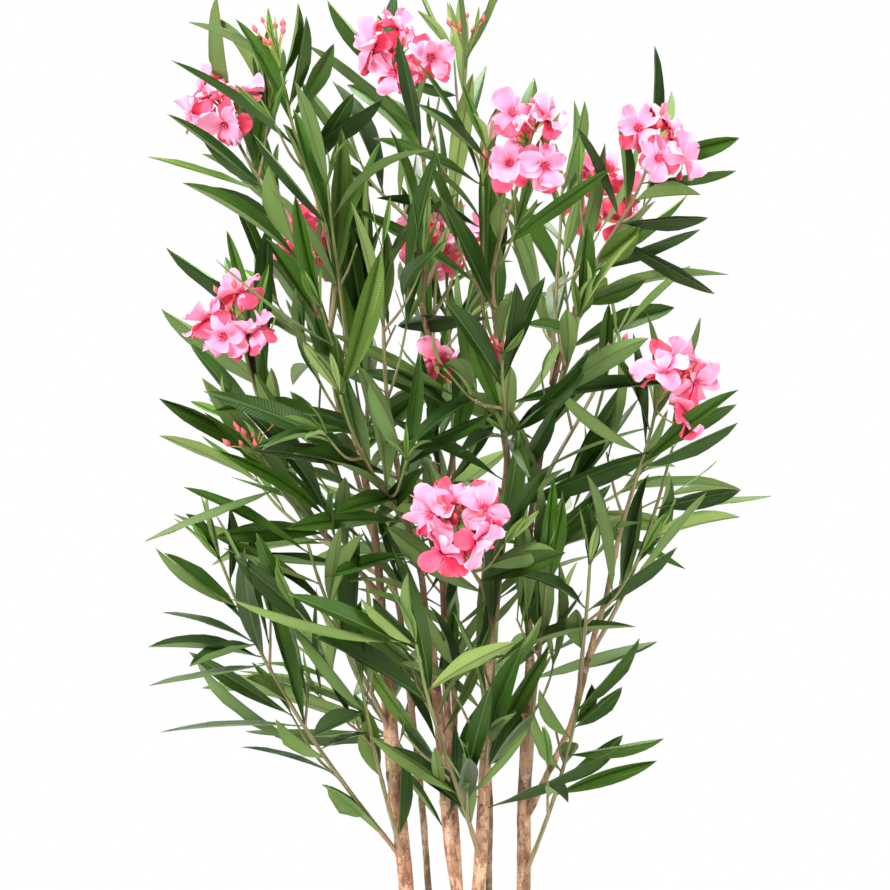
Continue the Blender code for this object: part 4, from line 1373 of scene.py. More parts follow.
class Graph:
    """A material's nodes, made by short calls; a number or a socket may be given as an input."""

    def __init__(self, name: str) -> None:
        """Makes the material with its Principled shader.

        Args:
            name: The material's name.
        """
        self.material = bpy.data.materials.new(name)
        self.material.use_nodes = True
        self.tree = self.material.node_tree
        self.shader = self.tree.nodes["Principled BSDF"]

    def feed(self, socket: Socket, value: Socket | float | tuple) -> None:
        """Links a socket to an input, or sets the input's own value.

        Args:
            socket: The input.
            value: Another node's output, or a value.
        """
        if isinstance(value, bpy.types.NodeSocket):
            self.tree.links.new(value, socket)
        else:
            socket.default_value = value

    def shade(self, **inputs: Socket | float | tuple) -> Material:
        """Feeds the shader's inputs, named with _ for a space, and gives back the material."""
        for title, value in inputs.items():
            self.feed(self.shader.inputs[title.replace("_", " ")], value)
        return self.material

    def node(self, kind: str, *values: Socket | float | tuple, **settings: str) -> bpy.types.Node:
        """A node of a kind, with its settings, and its first inputs fed in their order.

        Args:
            kind: The node's kind, without the word that all kinds start with.
            values: Numbers or sockets for its first inputs.
            settings: The node's own settings.

        Returns:
            The node.
        """
        node = self.tree.nodes.new(f"ShaderNode{kind}")
        for title, setting in settings.items():
            setattr(node, title, setting)
        for socket, value in zip(node.inputs, values):
            self.feed(socket, value)
        return node

    def maths(self, operation: str, *values: Socket | float) -> Socket:
        """A Math node's output."""
        return self.node("Math", *values, operation=operation).outputs[0]

    def times(self, first: Socket, second: Socket | float) -> Socket:
        """One number times another."""
        return self.maths("MULTIPLY", first, second)

    def less(self, first: Socket, second: Socket | float) -> Socket:
        """One number less another."""
        return self.maths("SUBTRACT", first, second)

    def scaled(self, value: Socket, times: float, plus: Socket | float) -> Socket:
        """A number times a second plus a third."""
        return self.maths("MULTIPLY_ADD", value, times, plus)

    def ramp(self, value: Socket, low: float, high: float, start: float = 0.0, end: float = 1.0) -> Socket:
        """A smooth step from start to end while the value runs from low to high."""
        return self.node("MapRange", value, low, high, start, end, interpolation_type="SMOOTHSTEP").outputs[0]

    def mix(self, share: Socket, first: Socket | tuple, second: Socket | tuple) -> Socket:
        """Two colours mixed by a share.

        Args:
            share: How much of the second.
            first: A colour.
            second: Another colour.

        Returns:
            The mixed colour.
        """
        node = self.node("Mix", share, data_type="RGBA")
        self.feed(node.inputs[6], first)
        self.feed(node.inputs[7], second)
        return node.outputs[2]

    def over(self, body: Socket, colour: tuple, mask: Socket, share: float) -> Socket:
        """A colour laid over another where a mask is, by at most a share."""
        return self.mix(self.times(mask, share), body, colour)

    def place(self, scale: Place = (1.0, 1.0, 1.0), own_map: bool = False) -> Socket:
        """Object coordinates, or the piece's own map, stretched by a scale.

        Args:
            scale: How much along each axis.
            own_map: Whether to take the piece's own map.

        Returns:
            The stretched coordinates.
        """
        start = (self.node("UVMap", uv_map=MAP_NAME).outputs[0] if own_map
                 else self.node("TexCoord").outputs["Object"])
        node = self.node("Mapping", start)
        node.inputs["Scale"].default_value = scale
        return node.outputs[0]

    def parts(self, vector: Socket) -> tuple[Socket, ...]:
        """A vector's three numbers."""
        return tuple(self.node("SeparateXYZ", vector).outputs)

    def noise(self, scale: Place, detail: float = 3.0, roughness: float = 0.55,
              own_map: bool = False) -> Socket:
        """A noise value, about 0.5 on average, over a place stretched by a scale.

        Args:
            scale: How much along each axis.
            detail: How many finer layers it has.
            roughness: How strong these are.
            own_map: Whether to take the piece's own map.

        Returns:
            The value.
        """
        node = self.node("TexNoise", self.place(scale, own_map))
        for title, value in (("Scale", 1.0), ("Detail", detail), ("Roughness", roughness)):
            node.inputs[title].default_value = value
        return node.outputs[0]

    def cells(self, scale: Place) -> Socket:
        """The distance to the nearest of many scattered points."""
        node = self.node("TexVoronoi", self.place(scale))
        node.inputs["Scale"].default_value = 1.0
        return node.outputs["Distance"]

    def value_of(self, title: str) -> Socket:
        """A number that the mesh carries at its points."""
        return self.node("Attribute", attribute_name=title).outputs["Fac"]

    def finished(self, colour: Socket, roughness: Socket, height: Socket, depth: float) -> Material:
        """The material, with a colour, a roughness and a relief of a depth in metres.

        Args:
            colour: The surface's colour.
            roughness: How matt it is.
            height: The relief, from 0 to 1.
            depth: How deep the relief is.

        Returns:
            The material.
        """
        bump = self.node("Bump")
        for title, value in (("Strength", 1.0), ("Distance", depth), ("Height", height)):
            self.feed(bump.inputs[title], value)
        return self.shade(Base_Color=colour, Roughness=roughness, Normal=bump.outputs[0])


LEAF_TILE_HALF = 0.235


@dataclass(frozen=True)
class LeafFinish:
    """A leaf's two sides: a satin upper side with ribs and midrib, and a matt paler underside.

    The left half of the map is the upper side and the right half the underside. The distance from
    the half's middle is the distance from the midrib, and v runs from root to tip.
    """

    tint: LeafTint
    upper: Colour
    under: Colour
    # The midrib's colour: paler than the blade on the deep and shade tints, darker on the others as painted
    # shade of the fold's crease
    midrib_and_crease_shade: Colour
    gloss: float
    sheen: float
    sheen_tint: tuple[float, ...] = (0.80, 1.0, 0.55, 1.0)
    lower_vein: Colour = (86, 84, 44)
    stalk: Colour = (74, 78, 36)
    ribs: float = 56.0
    rib_lean: float = 2.6
    rib_depth: float = 0.00020

    def material(self) -> Material:
        """The finish as a material."""
        graph = Graph(f"leaf_{self.tint.value}")
        graph.shade(Specular_IOR_Level=self.sheen, Specular_Tint=self.sheen_tint)
        u, v, _ = graph.parts(graph.place(own_map=True))
        under = graph.maths("GREATER_THAN", u, 0.5)
        from_middle = graph.maths("ABSOLUTE", graph.less(u, graph.scaled(under, 0.5, 0.25)))
        out = graph.times(from_middle, 1 / LEAF_TILE_HALF)
        turns = graph.less(graph.times(v, self.ribs), graph.times(out, self.rib_lean))
        rib = graph.scaled(graph.maths("SINE", graph.times(turns, TURN)), 0.5, 0.5)
        midrib = graph.ramp(out, 0.035, 0.15, 1.0, 0.0)
        mottle = graph.noise((9.0, 3.0, 1.0), 4.0, own_map=True)
        grain = graph.noise((60.0, 34.0, 1.0), own_map=True)
        streak = graph.noise((70.0, 2.2, 1.0), own_map=True)
        age = graph.scaled(graph.less(mottle, 0.5), 1.3, graph.value_of("shade"))
        upper = graph.mix(age, tone(self.upper, 0.72), tone(self.upper, 1.10, 6))
        # Lighter streaks along the upper side: partly painted sheen
        upper = graph.over(upper, tone(self.upper, 1.22, 16), graph.ramp(streak, 0.48, 0.66), 0.42)
        upper = graph.over(upper, tone(self.upper, 0.62), graph.ramp(streak, 0.46, 0.34), 0.40)
        ribbed = graph.times(rib, graph.ramp(mottle, 0.35, 0.65, 0.18, 0.52))
        upper = graph.mix(ribbed, upper, tone(self.upper, 0.66))
        upper = graph.over(upper, tone(self.upper, 1.05, 24), graph.ramp(grain, 0.5, 0.75), 0.28)
        # Midrib line; where its colour is darker than the blade, that darkening is painted shade of the
        # fold's crease
        upper = graph.over(upper, tone(self.midrib_and_crease_shade), midrib, 0.65)
        lower = graph.mix(age, tone(self.under, 0.84), tone(self.under, 1.04))
        lower = graph.over(lower, tone(self.under, 0.80), ribbed, 0.5)
        lower = graph.over(lower, tone(self.lower_vein), midrib, 0.75)
        both = graph.mix(under, upper, lower)
        both = graph.over(both, tone(self.upper, 0.70), graph.ramp(out, 0.62, 1.0), 0.25)
        both = graph.over(both, tone(self.stalk), graph.ramp(v, 0.05, 0.12, 1.0, 0.0), 0.7)
        satin = graph.scaled(rib, 0.10, graph.scaled(streak, 0.30, self.gloss - 0.12))
        satin = graph.scaled(mottle, 0.10, graph.scaled(under, 0.28, satin))
        sunk = graph.less(graph.times(under, 2.0), 1.0)
        height = graph.scaled(graph.times(midrib, sunk), 2.0, graph.times(rib, 0.5))
        return graph.finished(both, satin, height, self.rib_depth)


LEAF_FINISHES = {
    finish.tint: finish for finish in (
        LeafFinish(DEEP, (25, 53, 8), (95, 123, 66), (70, 94, 48), 0.24, 0.34),
        LeafFinish(SHADE, (35, 67, 10), (100, 126, 68), (88, 112, 58), 0.26, 0.28),
        LeafFinish(MIDDLE, (51, 85, 16), (106, 132, 70), (30, 50, 14), 0.29, 0.24),
        LeafFinish(OLIVE, (80, 108, 38), (122, 144, 78), (46, 64, 22), 0.34, 0.24),
        LeafFinish(FRESH, (62, 102, 26), (112, 140, 72), (36, 66, 14), 0.34, 0.24),
        LeafFinish(YOUNG, (94, 128, 54), (130, 153, 88), (70, 100, 32), 0.38, 0.24),
    )
}

# How each spray deals its tints: a grown leaf takes one of these, by a seeded draw
TINT_HANDS = (
    (DEEP, DEEP, SHADE, MIDDLE),
    (SHADE, SHADE, DEEP, MIDDLE),
    (SHADE, MIDDLE, OLIVE, DEEP),
    (MIDDLE, DEEP, FRESH, SHADE),
)


@dataclass(frozen=True)
class PetalFinish:
    """A petal that runs from a deep throat to a paler edge, with faint streaks along it."""

    name: str
    throat: Colour
    body: Colour
    edge: Colour
    throat_end: float

    def material(self) -> Material:
        """The finish as a material; u runs across the petal and v along it."""
        graph = Graph(self.name)
        u, v, _ = graph.parts(graph.place(own_map=True))
        streak = graph.noise((26.0, 2.0, 1.0), own_map=True)
        aside = graph.times(graph.maths("ABSOLUTE", graph.less(u, 0.5)), 2.0)
        reach = graph.scaled(graph.less(streak, 0.5), 0.22, v)
        body = graph.mix(graph.ramp(reach, 0.02, self.throat_end), tone(self.throat), tone(self.body))
        rim = graph.maths("MAXIMUM", graph.ramp(v, 0.72, 1.0), graph.ramp(aside, 0.55, 0.95))
        body = graph.over(body, tone(self.edge), rim, 0.7)
        body = graph.over(body, tone(self.body, 0.93), graph.ramp(streak, 0.35, 0.7), 0.22)
        return graph.finished(body, graph.scaled(streak, 0.15, 0.52), streak, 0.0003)


@dataclass(frozen=True)
class ShootFinish:
    """Thin shoots and stalks: a root tone, two tones in long streaks, and a tone at the end."""

    name: str
    light: Colour
    dark: Colour
    end: Colour
    root: Colour
    roughness: float = 0.55

    def material(self) -> Material:
        """The finish as a material; v runs from the shoot's root to its end."""
        graph = Graph(self.name)
        _, v, _ = graph.parts(graph.place(own_map=True))
        streak = graph.noise((9.0, 6.0, 1.0), 4.0, own_map=True)
        fine = graph.noise((30.0, 60.0, 1.0), own_map=True)
        body = graph.mix(graph.ramp(streak, 0.35, 0.65), tone(self.dark), tone(self.light))
        body = graph.mix(graph.ramp(v, 0.45, 1.0), body, tone(self.end))
        body = graph.mix(graph.ramp(v, 0.24, 0.08), body, tone(self.root))
        body = graph.over(body, tone(self.dark, 0.6), graph.ramp(fine, 0.60, 0.72), 0.45)
        return graph.finished(body, graph.scaled(fine, 0.25, self.roughness - 0.1), fine, 0.0004)


class BarkKind(Enum):
    """The barks that the stems have."""

    SALMON = "salmon"
    TAN = "tan"
    BROWN = "brown"
    MOTTLED = "mottled"


@dataclass(frozen=True)
class BarkFinish:
    """Smooth bark: two tones, patches of a third, long streaks, dark specks and reddish knots.

    It turns to the tones of young wood with height, between the two heights of the change.
    """

    kind: BarkKind
    light: Colour
    dark: Colour
    patch: Colour
    patch_from: float
    knot: Colour = (98, 52, 38)
    speck: Colour = (72, 50, 36)
    young_light: Colour = (150, 124, 88)
    young_dark: Colour = (98, 78, 52)
    change: Range = (0.55, 1.05)
    roughness: float = 0.72
    relief: float = 0.0014

    def material(self) -> Material:
        """The finish as a material; the mesh's own number "knot" says where the knots are."""
        graph = Graph(f"bark_{self.kind.value}")
        cloud = graph.noise((34.0, 34.0, 15.0), 5.0, 0.6)
        blotch = graph.noise((84.0, 84.0, 50.0), 6.0, 0.7)
        stain = graph.noise((130.0, 130.0, 80.0), 5.0, 0.7)
        streak = graph.noise((210.0, 210.0, 13.0), 5.0, 0.65)
        fine = graph.noise((460.0, 460.0, 260.0), 4.0, 0.7)
        ring = graph.noise((70.0, 70.0, 520.0))
        crowded = graph.noise((90.0, 90.0, 60.0), 2.0)
        _, _, height = graph.parts(graph.place())
        youth = graph.ramp(graph.scaled(graph.less(cloud, 0.5), 0.35, height), *self.change)
        patch = graph.ramp(blotch, self.patch_from, self.patch_from + 0.05)
        body = graph.mix(graph.ramp(cloud, 0.44, 0.57), tone(self.dark), tone(self.light))
        body = graph.over(body, tone(self.patch), patch, 0.9)
        body = graph.over(body, tone(self.dark, 0.60), graph.ramp(stain, 0.54, 0.62), 0.55)
        body = graph.over(body, tone(self.light, 1.06, 12), graph.ramp(stain, 0.44, 0.36), 0.35)
        young = graph.mix(graph.ramp(blotch, 0.40, 0.60), tone(self.young_dark), tone(self.young_light))
        body = graph.mix(youth, body, young)
        body = graph.over(body, tone(self.dark, 0.62), graph.ramp(streak, 0.52, 0.68), 0.26)
        body = graph.over(body, tone(self.light, 1.12, 8), graph.ramp(streak, 0.46, 0.32), 0.26)
        body = graph.over(body, tone(self.dark, 0.70), graph.ramp(ring, 0.57, 0.70), 0.30)
        specks = graph.cells((210.0, 210.0, 150.0))
        speck = graph.times(graph.ramp(specks, 0.30, 0.12), graph.ramp(crowded, 0.54, 0.66))
        body = graph.over(body, tone(self.speck), speck, 0.9)
        body = graph.over(body, tone(self.dark, 0.74), graph.ramp(fine, 0.55, 0.75), 0.30)
        knot = graph.maths("ADD", graph.value_of("knot"), graph.scaled(fine, 0.8, -0.4))
        body = graph.over(body, tone(self.knot), graph.ramp(knot, 0.20, 0.60), 0.9)
        relief = graph.scaled(streak, 0.45, graph.times(fine, 0.9))
        for mask, depth in ((speck, 0.5), (patch, 0.3), (graph.ramp(ring, 0.55, 0.68), 0.35)):
            relief = graph.less(relief, graph.times(mask, depth))
        return graph.finished(body, graph.scaled(fine, 0.25, self.roughness - 0.12), relief, self.relief)


BARKS = {
    bark.kind: bark for bark in (
        BarkFinish(BarkKind.SALMON, (210, 168, 136), (162, 114, 84), (136, 80, 56), 0.52),
        BarkFinish(BarkKind.TAN, (216, 180, 146), (174, 132, 100), (150, 98, 72), 0.54),
        BarkFinish(BarkKind.BROWN, (168, 138, 108), (116, 88, 62), (90, 74, 56), 0.52),
        BarkFinish(BarkKind.MOTTLED, (190, 146, 112), (126, 88, 62), (192, 178, 158), 0.55),
    )
}

# The bark of each stem and of the boughs that it carries
STEM_BARKS = {
    "stem_left": BarkKind.SALMON,
    "stem_left_thin": BarkKind.BROWN,
    "stem_slanting": BarkKind.SALMON,
    "stem_centre": BarkKind.SALMON,
    "stem_front": BarkKind.TAN,
    "stem_right_thin": BarkKind.BROWN,
    "stem_right": BarkKind.MOTTLED,
}


@dataclass(frozen=True)
class PlasticFinish:
    """Moulded plastic: a nearly even dark tone with a fine grain, faint scuffs and dust."""

    body: Colour = (38, 38, 40)
    scuff: Colour = (74, 73, 72)
    roughness: float = 0.48

    def material(self) -> Material:
        """The finish as a material."""
        graph = Graph("pot_plastic")
        grain = graph.noise((900.0, 900.0, 900.0), 2.0)
        cloud = graph.noise((16.0, 16.0, 10.0), 4.0)
        scrape = graph.noise((30.0, 30.0, 260.0), 5.0, 0.7)
        scuffs = graph.times(graph.ramp(scrape, 0.60, 0.80), graph.ramp(cloud, 0.45, 0.65))
        body = graph.mix(graph.ramp(cloud, 0.3, 0.7), tone(self.body), tone(self.body, 1.25))
        body = graph.over(body, tone(self.scuff), scuffs, 0.5)
        rough = graph.scaled(scuffs, 0.2, graph.scaled(cloud, 0.16, self.roughness - 0.08))
        return graph.finished(body, rough, grain, 0.00025)


@dataclass(frozen=True)
class CementFinish:
    """Rough cement with sand grains, pores and damp clouds."""

    light: Colour = (158, 151, 140)
    dark: Colour = (108, 102, 93)
    sand: Colour = (190, 184, 172)
    pore: Colour = (66, 61, 55)
    roughness: float = 0.9

    def material(self) -> Material:
        """The finish as a material."""
        graph = Graph("cement")
        cloud = graph.noise((30.0, 30.0, 30.0), 5.0)
        sand = graph.noise((700.0, 700.0, 700.0), 3.0, 0.7)
        pore = graph.ramp(graph.cells((260.0, 260.0, 260.0)), 0.22, 0.08)
        body = graph.mix(graph.ramp(cloud, 0.3, 0.7), tone(self.dark), tone(self.light))
        body = graph.over(body, tone(self.sand), graph.ramp(sand, 0.5, 0.75), 0.5)
        body = graph.over(body, tone(self.pore), pore, 0.6)
        rough = graph.scaled(sand, 0.15, self.roughness - 0.1)
        return graph.finished(body, rough, graph.less(sand, pore), 0.0012)


@dataclass(frozen=True)
class FloorFinish:
    """A pale matt studio floor that glows far from the plant: painted light that fades it to white."""

    body: Colour = (236, 235, 233)
    fade: Range = (0.9, 2.6)
    # The strength of the far floor's glow, which is painted light
    white: float = 0.95

    def material(self) -> Material:
        """The finish as a material."""
        graph = Graph("studio_floor")
        cloud = graph.ramp(graph.noise((1.5, 1.5, 1.5)), 0.3, 0.7)
        body = graph.mix(cloud, tone(self.body, 0.985), tone(self.body))
        # Painted light: the floor's glow grows with its distance from the middle
        length = graph.node("VectorMath", graph.place(), operation="LENGTH").outputs["Value"]
        return graph.shade(Base_Color=body, Roughness=0.8, Emission_Color=(1.0, 1.0, 1.0, 1.0),
                           Emission_Strength=graph.ramp(length, *self.fade, 0.0, self.white))


# --- sub-assemblies


@dataclass(frozen=True)
class Pot:
    """A plain tapering plastic pot with a turned-over rim and a foot ring."""

    height: float = 0.168
    top_radius: float = 0.096
    foot_radius: float = 0.077
    wall: float = 0.0035
    rim_width: float = 0.0045
    rim_depth: float = 0.018
    rim_round: float = 0.0016
    lip_round: float = 0.0012
    edge_round: float = 0.0010
    nook_round: float = 0.0008
    foot_round: float = 0.003
    foot_ring: float = 0.010
    foot_rise: float = 0.0012
    axis_gap: float = 0.0008
    # How far the lip's bevel reaches in and down, and how the rim and the foot draw in
    lip_in: float = 0.0008
    lip_down: float = 0.004
    rim_in: float = 0.0004
    rim_tuck: float = 0.0018
    foot_slope: float = 0.002
    foot_round_at: float = 0.004
    sides: int = 144
    corner_steps: int = 5
    wall_steps: int = 12

    def wall_radius(self, height: float) -> float:
        """The pot's outer radius at a height."""
        return self.foot_radius + (self.top_radius - self.foot_radius) * height / self.height

    def corner(self, radius: float, height: float, size: float, start: float, end: float) -> list[Range]:
        """Points of a rounded corner: its centre plus the size along each angle from start to end."""
        angles = np.radians(np.linspace(start, end, self.corner_steps))
        return [(radius + size * math.cos(angle), height + size * math.sin(angle)) for angle in angles]

    def profile(self) -> Array:
        """The wall's section, up the inside, over the rim, down the outside and across the foot."""
        rim = self.top_radius + self.rim_width
        under_rim = self.height - self.rim_depth
        inside = self.top_radius - self.wall
        nook = self.wall_radius(under_rim) + self.nook_round
        foot = self.foot_round
        points = [(self.axis_gap, self.wall), (self.foot_radius - self.wall, self.wall),
                  (inside - self.lip_in, self.height - self.lip_down)]
        points += self.corner(inside + self.lip_round, self.height - self.lip_round, self.lip_round, 180, 90)
        points += self.corner(rim - self.rim_round, self.height - self.rim_round, self.rim_round, 90, 0)
        points += [(rim - self.rim_in, self.height - self.rim_depth / 2)]
        points += self.corner(rim - self.rim_tuck, under_rim + self.edge_round, self.edge_round, 0, -90)
        points += [(nook, under_rim)]
        points += self.corner(nook, under_rim - self.nook_round, self.nook_round, 90, 180)
        points += [(self.wall_radius(z), z) for z in np.linspace(under_rim - foot, 2 * foot, self.wall_steps)]
        points += self.corner(self.wall_radius(self.foot_round_at) - foot, foot, foot, 0, -90)
        points += [(self.foot_radius - self.foot_ring, 0.0),
                   (self.foot_radius - self.foot_ring - self.foot_slope, self.foot_rise),
                   (self.axis_gap, self.foot_rise)]
        return np.array(points)

    def build(self) -> Piece:
        """Turns the section round the axis."""
        profile = self.profile()
        parts = MeshParts()
        parts.add_tubes(turned(profile[:, :1], profile[:, 1:], self.sides)[None], inward=True)
        return parts.piece("moulded_pot", PlasticFinish().material(), "pot_plastic", ["pot"])


@dataclass(frozen=True)
class Filling:
    """The cement that holds the stems: an uneven top with a low collar round each stem."""

    level: float = 0.155
    radius: float = 0.0905
    floor: float = 0.0040
    floor_radius: float = 0.0735
    middle_share: float = 0.004
    rings: int = 64
    sides: int = 160
    # The strength, cell and seed of each noise that makes the top uneven
    noises: tuple[tuple[float, float, int], ...] = ((1.0, 0.016, 3), (0.55, 0.0055, 4), (0.3, 0.0024, 5))
    unevenness: float = 0.0011
    rough_middle: float = 0.6
    sunk: float = 0.0004
    collar: float = 0.0022
    collar_reach: float = 0.003
    level_edge: float = 12.0

    def build(self, feet: list[Rings]) -> Piece:
        """A disc whose height is the level plus noises, raised round each stem, with a wall below.

        Args:
            feet: The foot of each stem and its radius there.

        Returns:
            The piece.
        """
        share = np.linspace(self.middle_share, 1.0, self.rings)[:, None]
        top = turned(self.radius * share, self.level, self.sides)
        rough = sum(strength * value_noise(top, cell, seed) for strength, cell, seed in self.noises)
        lift = (rough - self.rough_middle) * self.unevenness
        for foot, radius in feet:
            gap = np.linalg.norm(top[..., :2] - foot[:2], axis=-1) - radius
            lift += self.collar * np.exp(-np.maximum(gap, 0.0) / self.collar_reach)
        top[..., 2] += lift * np.clip((1 - share) * self.level_edge, 0.0, 1.0) - self.sunk
        wall = turned(self.floor_radius, self.floor, self.sides)[None]
        middle = wall * np.array((self.middle_share, self.middle_share, 1.0))
        parts = MeshParts()
        parts.add_tubes(np.concatenate((top, wall, middle))[None], inward=True)
        return parts.piece("cement_filling", CementFinish().material(), "cement", ["filling"])


@dataclass(frozen=True)
class BarkLimbs:
    """Stems and boughs with relief: a smooth curve through the solid's rings, lumps and knots."""

    step: float = 0.0030
    sides: int = 44
    thin_sides: int = 22
    thin_below: float = 0.0105
    # The strength, cell and seed of each noise, of the lumps and of the wrinkles
    lump: float = 0.060
    lumps: tuple[tuple[float, float, int], ...] = ((0.6, 0.040, 0), (0.4, 0.015, 50))
    wrinkle: float = 0.00030
    wrinkles: tuple[tuple[float, float, int], ...] = ((1.0, 0.0030, 100), (0.7, 0.0060, 150))
    wrinkle_stretch: float = 0.16
    knot_spacing: float = 0.052
    knot_size: Range = (0.0026, 0.0064)
    knot_height: float = 0.0015
    knot_places: Range = (0.03, 0.97)
    knot_fade: float = 1.4
    dimple: float = 0.8
    dimple_narrower: float = 5.0
    knot_radius: float = 0.008
    joint_length: float = 0.020
    collar: float = 1.45
    first_seed: int = 300

    def path(self, limb: Limb, limbs: Limbs, skeleton: Skeleton) -> Rings:
        """The limb's smooth path, begun inside its parent, with its radius along it.

        At a fork it starts as thick as its parent, and on a side with a low collar.

        Args:
            limb: The stem or bough.
            limbs: Every limb's rings.
            skeleton: The plan of the paths.

        Returns:
            The points and radii.
        """
        points, radii = limbs[limb.name]
        if not limb.parent:
            return smooth_path(points, radii, round(lengths_along(points)[-1] / self.step))
        joined, is_fork = skeleton.joined(limb, points, limbs[limb.parent])
        curve, radius = smooth_path(joined, radii, round(lengths_along(joined)[-1] / self.step))
        there = limbs[limb.parent][1][limb.ring] if is_fork else radius[0] * self.collar
        swell = np.exp(-((lengths_along(curve) / self.joint_length) ** 2))
        return curve, radius + np.maximum(there - radius, 0.0) * swell

    def knots(self, rng: random.Random, length: float) -> list[Place]:
        """Seeded knots: how far along, which way round, and how large."""
        count = max(2, round(length / self.knot_spacing))
        return [(rng.uniform(*self.knot_places) * length, rng.uniform(0, TURN), rng.uniform(*self.knot_size))
                for _ in range(count)]

    def surface(self, curve: Array, radius: Array, sides: int, seed: int) -> tuple[Array, Array]:
        """The limb's skin.

        The radius is the path's, times 1 plus a slow noise, plus long wrinkles, plus a mound with a
        dimple at each knot: exp(-d^2) - 0.8 exp(-5 d^2) of the distance d in knot sizes.

        Args:
            curve: The path's points.
            radius: The radius along it.
            sides: How many points a ring has.
            seed: The limb's seed.

        Returns:
            Rings, ring points and three numbers, and how much of a knot is at each point.
        """
        plain = sweep(curve[None], radius[None], sides)[0]
        lumps = sum(part * value_noise(plain, cell, seed + more) for part, cell, more in self.lumps)
        long = plain * np.array((1.0, 1.0, self.wrinkle_stretch))
        wrinkles = sum(part * value_noise(place, cell, seed + more)
                       for place, (part, cell, more) in zip((long, plain), self.wrinkles))
        radius = radius[:, None]
        swell = radius * (self.lump * lumps) + self.wrinkle * wrinkles
        along = lengths_along(curve)
        knot = np.zeros(plain.shape[:2])
        for place, turn, size in self.knots(random.Random(seed), along[-1]):
            round_it = (np.mod(circle(sides) - turn + math.pi, TURN) - math.pi)[None] * radius
            squared = (round_it ** 2 + (along[:, None] - place) ** 2) / size ** 2
            mound = np.exp(-squared) - self.dimple * np.exp(-self.dimple_narrower * squared)
            swell += self.knot_height * (radius / self.knot_radius) * mound
            knot += np.exp(-squared * self.knot_fade)
        return sweep(curve[None], (radius + swell)[None], sides), np.minimum(knot, 1.0)

    def build(self, limbs: Limbs, skeleton: Skeleton) -> list[Piece]:
        """One piece for each stem and bough, in the bark of the stem that carries it.

        Args:
            limbs: Every limb's rings.
            skeleton: The plan of the paths.

        Returns:
            The pieces.
        """
        materials = {kind: finish.material() for kind, finish in BARKS.items()}
        kinds = dict(STEM_BARKS)
        made = []
        for seed, limb in enumerate((*STEMS, *BOUGHS), start=self.first_seed):
            kinds.setdefault(limb.name, kinds.get(limb.parent, BarkKind.BROWN))
            curve, radius = self.path(limb, limbs, skeleton)
            sides = self.sides if limb.thick > self.thin_below else self.thin_sides
            points, knot = self.surface(curve, radius, sides, seed)
            parts = MeshParts()
            parts.add_tubes(points, values={"knot": knot})
            slot = "young_bark" if limb.parent else "bark"
            made.append(parts.piece(f"{limb.name}_bark", materials[kinds[limb.name]], slot, [limb.name]))
        return made


@dataclass(frozen=True)
class Twigs:
    """Every spray's main stem and side twigs, with slight swellings where the whorls sit."""

    main_rows: int = 32
    twig_rows: int = 12
    sides: int = 10
    twig_thick: float = 0.0034
    twig_thin: float = 0.0021
    swelling: float = 0.16
    swelling_spacing: float = 0.034
    foot_swell: float = 0.35
    foot_length: float = 0.012
    finish: ShootFinish = ShootFinish("shoots", (146, 136, 90), (86, 76, 46), (98, 116, 54),
                                      (142, 112, 82), 0.6)

    def build(self, axes: Limbs, grown: dict[str, Growth], limbs: Limbs, skeleton: Skeleton) -> Piece:
        """All the twigs as one piece.

        The radius runs evenly from thick to thin, times 1 plus a swelling of cos^16 of half a turn
        for each whorl's spacing, and 1 plus a foot of exp(-x^2) at a main stem's root.

        Args:
            axes: The rings of each spray's main stem.
            grown: What each spray has grown.
            limbs: Every limb's rings.
            skeleton: The plan of the paths.

        Returns:
            The piece.
        """
        parts = MeshParts()
        mains = []
        for spray in SPRAYS:
            points, radii = axes[spray.name]
            joined, _ = skeleton.joined(spray, points, limbs[spray.parent])
            curve, radius = smooth_path(joined, radii, self.main_rows)
            foot = np.exp(-((lengths_along(curve) / self.foot_length) ** 2))
            mains.append((curve, radius * (1 + self.foot_swell * foot)))
        thick = np.linspace(self.twig_thick / 2, self.twig_thin / 2, 3)
        sides = [smooth_path(twig, thick, self.twig_rows)
                 for growth in grown.values() for twig in growth.twigs]
        self.add(parts, mains)
        self.add(parts, sides)
        return parts.piece("twigs", self.finish.material(), "young_bark", list(axes))

    def add(self, parts: MeshParts, paths: list[Rings]) -> None:
        """Adds tubes round paths that have the same number of points.

        Args:
            parts: What they are added to.
            paths: The paths' points and radii.
        """
        curves = np.stack([curve for curve, _ in paths])
        radii = np.stack([radius for _, radius in paths])
        along = np.stack([lengths_along(curve) for curve in curves])
        radii = radii * (1 + self.swelling * np.cos(math.pi * along / self.swelling_spacing) ** 16)
        parts.add_tubes(sweep(curves, radii, self.sides))


